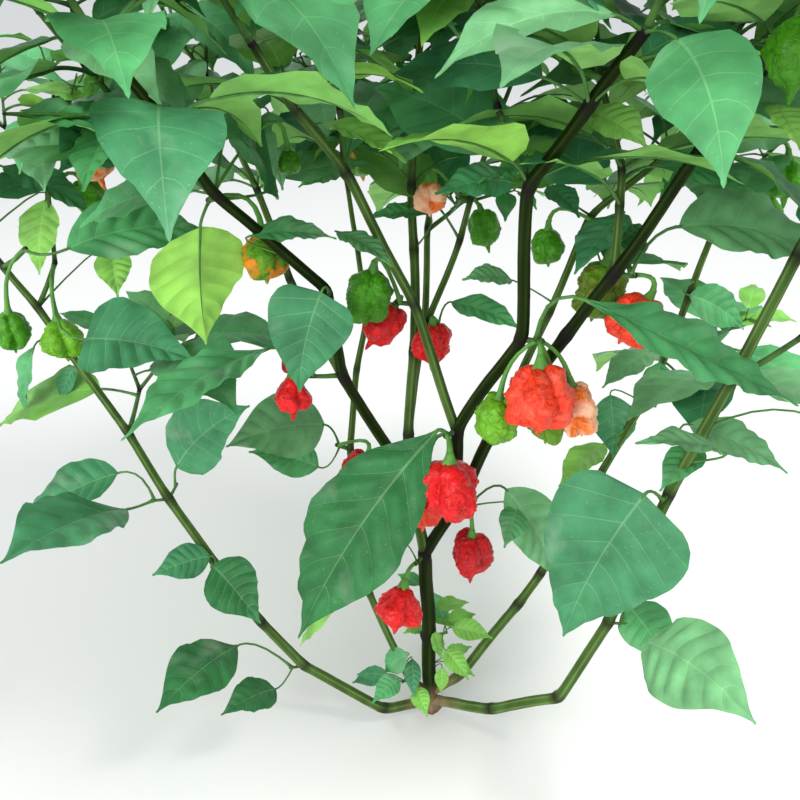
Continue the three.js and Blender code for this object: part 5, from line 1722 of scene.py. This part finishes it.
def add_fruit(batch, fruit, settings, finish):
    """A lantern with furrows between its lobes, wrinkled and drawn out to a small tail."""
    sides, rows = GROWN_FRUIT_GRID
    if fruit["fine"]:
        sides = int(np.clip(math.pi * fruit["width"] / FRUIT_CELL[0], *FRUIT_SIDES))
        rows = int(np.clip(1.8 * fruit["length"] / FRUIT_CELL[1], *FRUIT_ROWS))
    throw = dice(fruit["number"], FRUIT_PATH)
    along = direction(fruit["azimuth"], fruit["rise"])
    across, up = cross_frame(along)
    widest, sharpness, drawn, hanging = FRUIT_FORMS[fruit["form"]]
    place = np.linspace(0, 1, rows)[:, None]
    axis = (1 + drawn) * (0.45 * place + 0.275 * (1 - np.cos(math.pi * place)))
    flesh = np.clip(axis / FRUIT_END, 0, 1) ** (math.log(0.5) / math.log(widest / FRUIT_END))
    body = np.maximum(np.sin(math.pi * flesh), 0)
    tail = TAIL_WIDTH * np.clip((1 + drawn - axis) / TAIL_REACH, 0, 1) ** 0.6 * (axis > widest)
    share = (body ** (4 * sharpness) + tail ** 4) ** 0.25
    angles = (2 * math.pi * np.arange(sides) / sides)[None]
    lobes = FEWEST_LOBES + int(throw() * LOBE_PLAY)
    turned = lobes * (angles + 2 * math.pi * throw() + 0.3 * axis) / 2
    lobe = np.abs(np.sin(turned))
    number = np.floor(turned / math.pi).astype(int) % lobes
    hangs = np.array([pick(LOBE_HANG, throw) for _ in range(lobes)])[number]
    bulges = np.array([pick(LOBE_BULGE, throw) for _ in range(lobes)])[number]
    body = body ** 0.5
    low = np.clip((axis - SHOULDER) / LOWER_PART, 0, 1)
    high = np.clip(1 - axis / SHOULDER, 0, 1)
    valley = (1 - lobe) ** 1.7
    lopsided = LOPSIDED * np.cos(angles + 2 * math.pi * throw()) * body
    girth = 1 - settings.furrow * valley * body + bulges * lobe * low + lopsided
    radius = fruit["width"] / 2 * share * girth
    hang = low * share * (hanging * hangs * lobe - 0.1 * valley)
    raised = CROWN * hangs * lobe * np.clip(share * 1.6, 0, 1)
    crown = high * (raised - DIMPLE * np.clip(1 - share / 0.6, 0, 1))
    depth = fruit["length"] * (axis + hang - crown)
    outward = np.cos(angles)[..., None] * across + np.sin(angles)[..., None] * up
    rings = fruit["calyx"] + depth[..., None] * along + radius[..., None] * outward
    shift = Vector([throw() * NOISE_SHIFT for _ in range(3)])
    pitch = (WRINKLE_WIDTH / fruit["width"]) ** 0.5
    bumps = [wrinkle(Vector(point) * pitch, Vector(along), shift) for point in rings.reshape(-1, 3)]
    bumps = np.array(bumps).reshape(rows, sides)
    swell = settings.relief * fruit["width"] / 2 * bumps * np.clip(share * 1.5, 0, 1) * (0.45 + 0.55 * body)
    rings = rings + swell[..., None] * (outward + 0.35 * low[..., None] * along)
    start = batch.put(rings[1:-1])
    batch.face(start + grid_faces(rows - 2, sides, True), finish)
    batch.fan(start + np.arange(sides), rings[0].mean(0), True, finish)
    batch.fan(start + (rows - 3) * sides + np.arange(sides), rings[-1].mean(0), False, finish)


def wrinkle(point, along, shift):
    """Broad bumps with two sizes of crease, the larger of which run round the fruit."""
    squeezed = point + along * (point @ along) * 0.8
    broad = noise.noise(point * 92 + shift)
    crease = 2.2 * abs(noise.noise(squeezed * 150 + shift * 2)) - 0.45
    fine = 2.2 * abs(noise.noise(point * 340 + shift * 3)) - 0.45
    return 1.25 * broad + 0.4 * crease + 0.2 * fine


class PLANT_OT_fruit(bpy.types.Operator):
    """Grow the wrinkled lanterns, from green to red"""
    bl_idname = "plant.fruit"
    bl_label = "Grow the fruit"

    def execute(self, context):
        for piece_name, stages in (("ripe_fruit", RIPE), ("unripe_fruit", UNRIPE)):
            batch = Batch()
            fruits = [fruit for fruit in plant_growth().fruits if fruit["ripeness"] in stages]
            for fruit in fruits:
                add_fruit(batch, fruit, context.scene.plant_fruit, stages.index(fruit["ripeness"]))
            piece = batch.build(piece_name, [finish_named("fruit", name) for name in stages])
            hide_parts(*sorted({fruit["mass"] for fruit in fruits}))
        return {"FINISHED"}


# Fruit stalks and caps
STALK_SIDES = 10
STALK_THICKNESS = 0.0006
STALK_THICKNESS_SHARE = 0.03
STALK_SHARES = (0, 0.07, 0.18, 0.34, 0.5, 0.66, 0.8, 0.92, 1)
STALK_SWELLS = (1.3, 1.0, 0.86, 0.88, 0.94, 1.04, 1.18, 1.4, 1.7)
STALK_BITE = 0.001
CAP_GIRTH = 1.5
CAP_SIDES = 20
CAP_TEETH = 5
CAP_RINGS = ((-0.005, 0.8, 0), (-0.0026, 1.02, 0), (-0.0008, 1.24, 0.02), (0.0008, 1.5, 0.06),
             (0.0022, 1.74, 0.12), (0.0032, 1.7, 0.12), (0.0032, 1, 0))


def add_stalk(batch, fruit):
    along = direction(fruit["azimuth"], fruit["rise"])
    reach = np.linalg.norm(fruit["calyx"] - fruit["root"])
    control = fruit["calyx"] - along * (STALK_ARCH * reach + STALK_RISE)
    thick = STALK_THICKNESS + STALK_THICKNESS_SHARE * fruit["width"]
    end = fruit["calyx"] + along * STALK_BITE
    points = curve_points(fruit["root"], control, end, np.array(STALK_SHARES))
    radii = thick * np.array(STALK_SWELLS)
    add_tube(batch, points, radii, STALK_SIDES, 0)
    across, up = cross_frame(along)
    angles = 2 * math.pi * np.arange(CAP_SIDES) / CAP_SIDES
    teeth = np.cos(CAP_TEETH * angles)
    rings = []
    for drop, share, tooth in CAP_RINGS:
        radius = thick * CAP_GIRTH * share * (1 + tooth * teeth)
        sink = drop + 0.0009 * (share > 1.6) * teeth
        rings.append(fruit["calyx"] + (sink[:, None] * along)
                     + radius[:, None] * (np.cos(angles)[:, None] * across + np.sin(angles)[:, None] * up))
    start = batch.put(np.array(rings))
    batch.face(start + grid_faces(len(CAP_RINGS), CAP_SIDES, True), 0)
    for ring, turned in ((0, True), (len(CAP_RINGS) - 1, False)):
        batch.fan(start + ring * CAP_SIDES + np.arange(CAP_SIDES), rings[ring].mean(0), turned, 0)


class PLANT_OT_stalks(bpy.types.Operator):
    """Hang every fruit on its stalk under a toothed cap"""
    bl_idname = "plant.stalks"
    bl_label = "Grow the fruit stalks"

    def execute(self, context):
        batch = Batch()
        for fruit in plant_growth().fruits:
            add_stalk(batch, fruit)
        piece = batch.build("fruit_stalks", [finish_named("stem", "stalk")])
        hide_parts(*sorted({fruit["mass"] for fruit in plant_growth().fruits}))
        return {"FINISHED"}


# Stage, light and camera
FLOOR_RADIUS = 14
LIGHTS = {
    "key": {"place": (0.95, -0.35, 1.9), "size": 0.6},
    "fill": {"place": (-1.3, -1.4, 1.3), "size": 1.8},
}
LIGHT_TARGET = (-0.03, 0.05, 0.3)


class PLANT_OT_stage(bpy.types.Operator):
    """Lay a plain pale floor"""
    bl_idname = "plant.stage"
    bl_label = "Lay the floor"

    def execute(self, context):
        angles = 2 * math.pi * np.arange(64) / 64
        rim = np.stack((np.cos(angles), np.sin(angles), np.zeros(64)), -1) * FLOOR_RADIUS
        mesh = bpy.data.meshes.new("floor")
        mesh.from_pydata(rim.tolist(), [], [list(range(64))])
        floor = bpy.data.objects.new("floor", mesh)
        context.scene.collection.objects.link(floor)
        finish = Finish("floor", specular_ior_level=0.2)
        colour = tuple(context.scene.plant_stage.floor)
        finish.feed("Base Color", finish.mix(finish.noise(1.5, 2) * 0.3, colour, shade(colour, 0.96)))
        finish.feed("Roughness", 0.8 + 0.1 * finish.noise(9, 2))
        mesh.materials.append(finish.material)
        return {"FINISHED"}


class PLANT_OT_light(bpy.types.Operator):
    """Set soft lights and a pale sky round the plant"""
    bl_idname = "plant.light"
    bl_label = "Set the light"

    def execute(self, context):
        settings = context.scene.plant_stage
        for name, power in (("key", settings.key_power), ("fill", settings.fill_power)):
            lamp = bpy.data.lights.new(name, "AREA")
            lamp.shape = "DISK"
            lamp.size = LIGHTS[name]["size"]
            lamp.energy = power
            light = bpy.data.objects.new(name, lamp)
            context.scene.collection.objects.link(light)
            light.location = LIGHTS[name]["place"]
            away = Vector(LIGHTS[name]["place"]) - Vector(LIGHT_TARGET)
            light.rotation_euler = away.to_track_quat("Z", "Y").to_euler()
        world = bpy.data.worlds.new("sky")
        world.use_nodes = True
        background = world.node_tree.nodes["Background"]
        background.inputs["Color"].default_value = (0.93, 0.96, 1, 1)
        background.inputs["Strength"].default_value = settings.sky
        context.scene.world = world
        context.scene.view_settings.view_transform = "Standard"
        return {"FINISHED"}


class PLANT_OT_camera(bpy.types.Operator):
    """Stand the camera where the photograph was taken"""
    bl_idname = "plant.camera"
    bl_label = "Set the camera"

    def execute(self, context):
        settings = context.scene.plant_stage
        lens = bpy.data.cameras.new("camera")
        lens.lens = settings.focal_length
        lens.sensor_width = SENSOR_WIDTH
        lens.clip_start = 0.01
        camera = bpy.data.objects.new("camera", lens)
        context.scene.collection.objects.link(camera)
        camera.location = CAMERA_PLACE
        camera.rotation_euler = (math.pi / 2 - settings.pitch, 0, 0)
        context.scene.camera = camera
        return {"FINISHED"}


OPERATORS = (PLANT_OT_stage, PLANT_OT_light, PLANT_OT_camera, PLANT_OT_stems, PLANT_OT_twigs,
             PLANT_OT_petioles, PLANT_OT_leaves, PLANT_OT_young_leaves, PLANT_OT_fruit, PLANT_OT_stalks)
SETTINGS = {"plant_stem": PlantStemSettings, "plant_leaf": PlantLeafSettings,
            "plant_fruit": PlantFruitSettings, "plant_stage": PlantStageSettings}


class PLANT_PT_panel(bpy.types.Panel):
    """Lists the plant's pieces in the sidebar"""
    bl_label = "Chilli pepper plant"
    bl_idname = "PLANT_PT_panel"
    bl_space_type = "VIEW_3D"
    bl_region_type = "UI"
    bl_category = "Plant"

    def draw(self, context):
        for operator in OPERATORS:
            self.layout.operator(operator.bl_idname)


def register():
    for kind in (*SETTINGS.values(), *OPERATORS, PLANT_PT_panel):
        bpy.utils.register_class(kind)
    for name, kind in SETTINGS.items():
        setattr(bpy.types.Scene, name, bpy.props.PointerProperty(type=kind))


def unregister():
    for name in SETTINGS:
        delattr(bpy.types.Scene, name)
    for kind in reversed((*SETTINGS.values(), *OPERATORS, PLANT_PT_panel)):
        bpy.utils.unregister_class(kind)


def main():
    register()
    for operator in OPERATORS:
        group, name = operator.bl_idname.split(".")
        getattr(getattr(bpy.ops, group), name)()


if __name__ == "__main__":
    main()
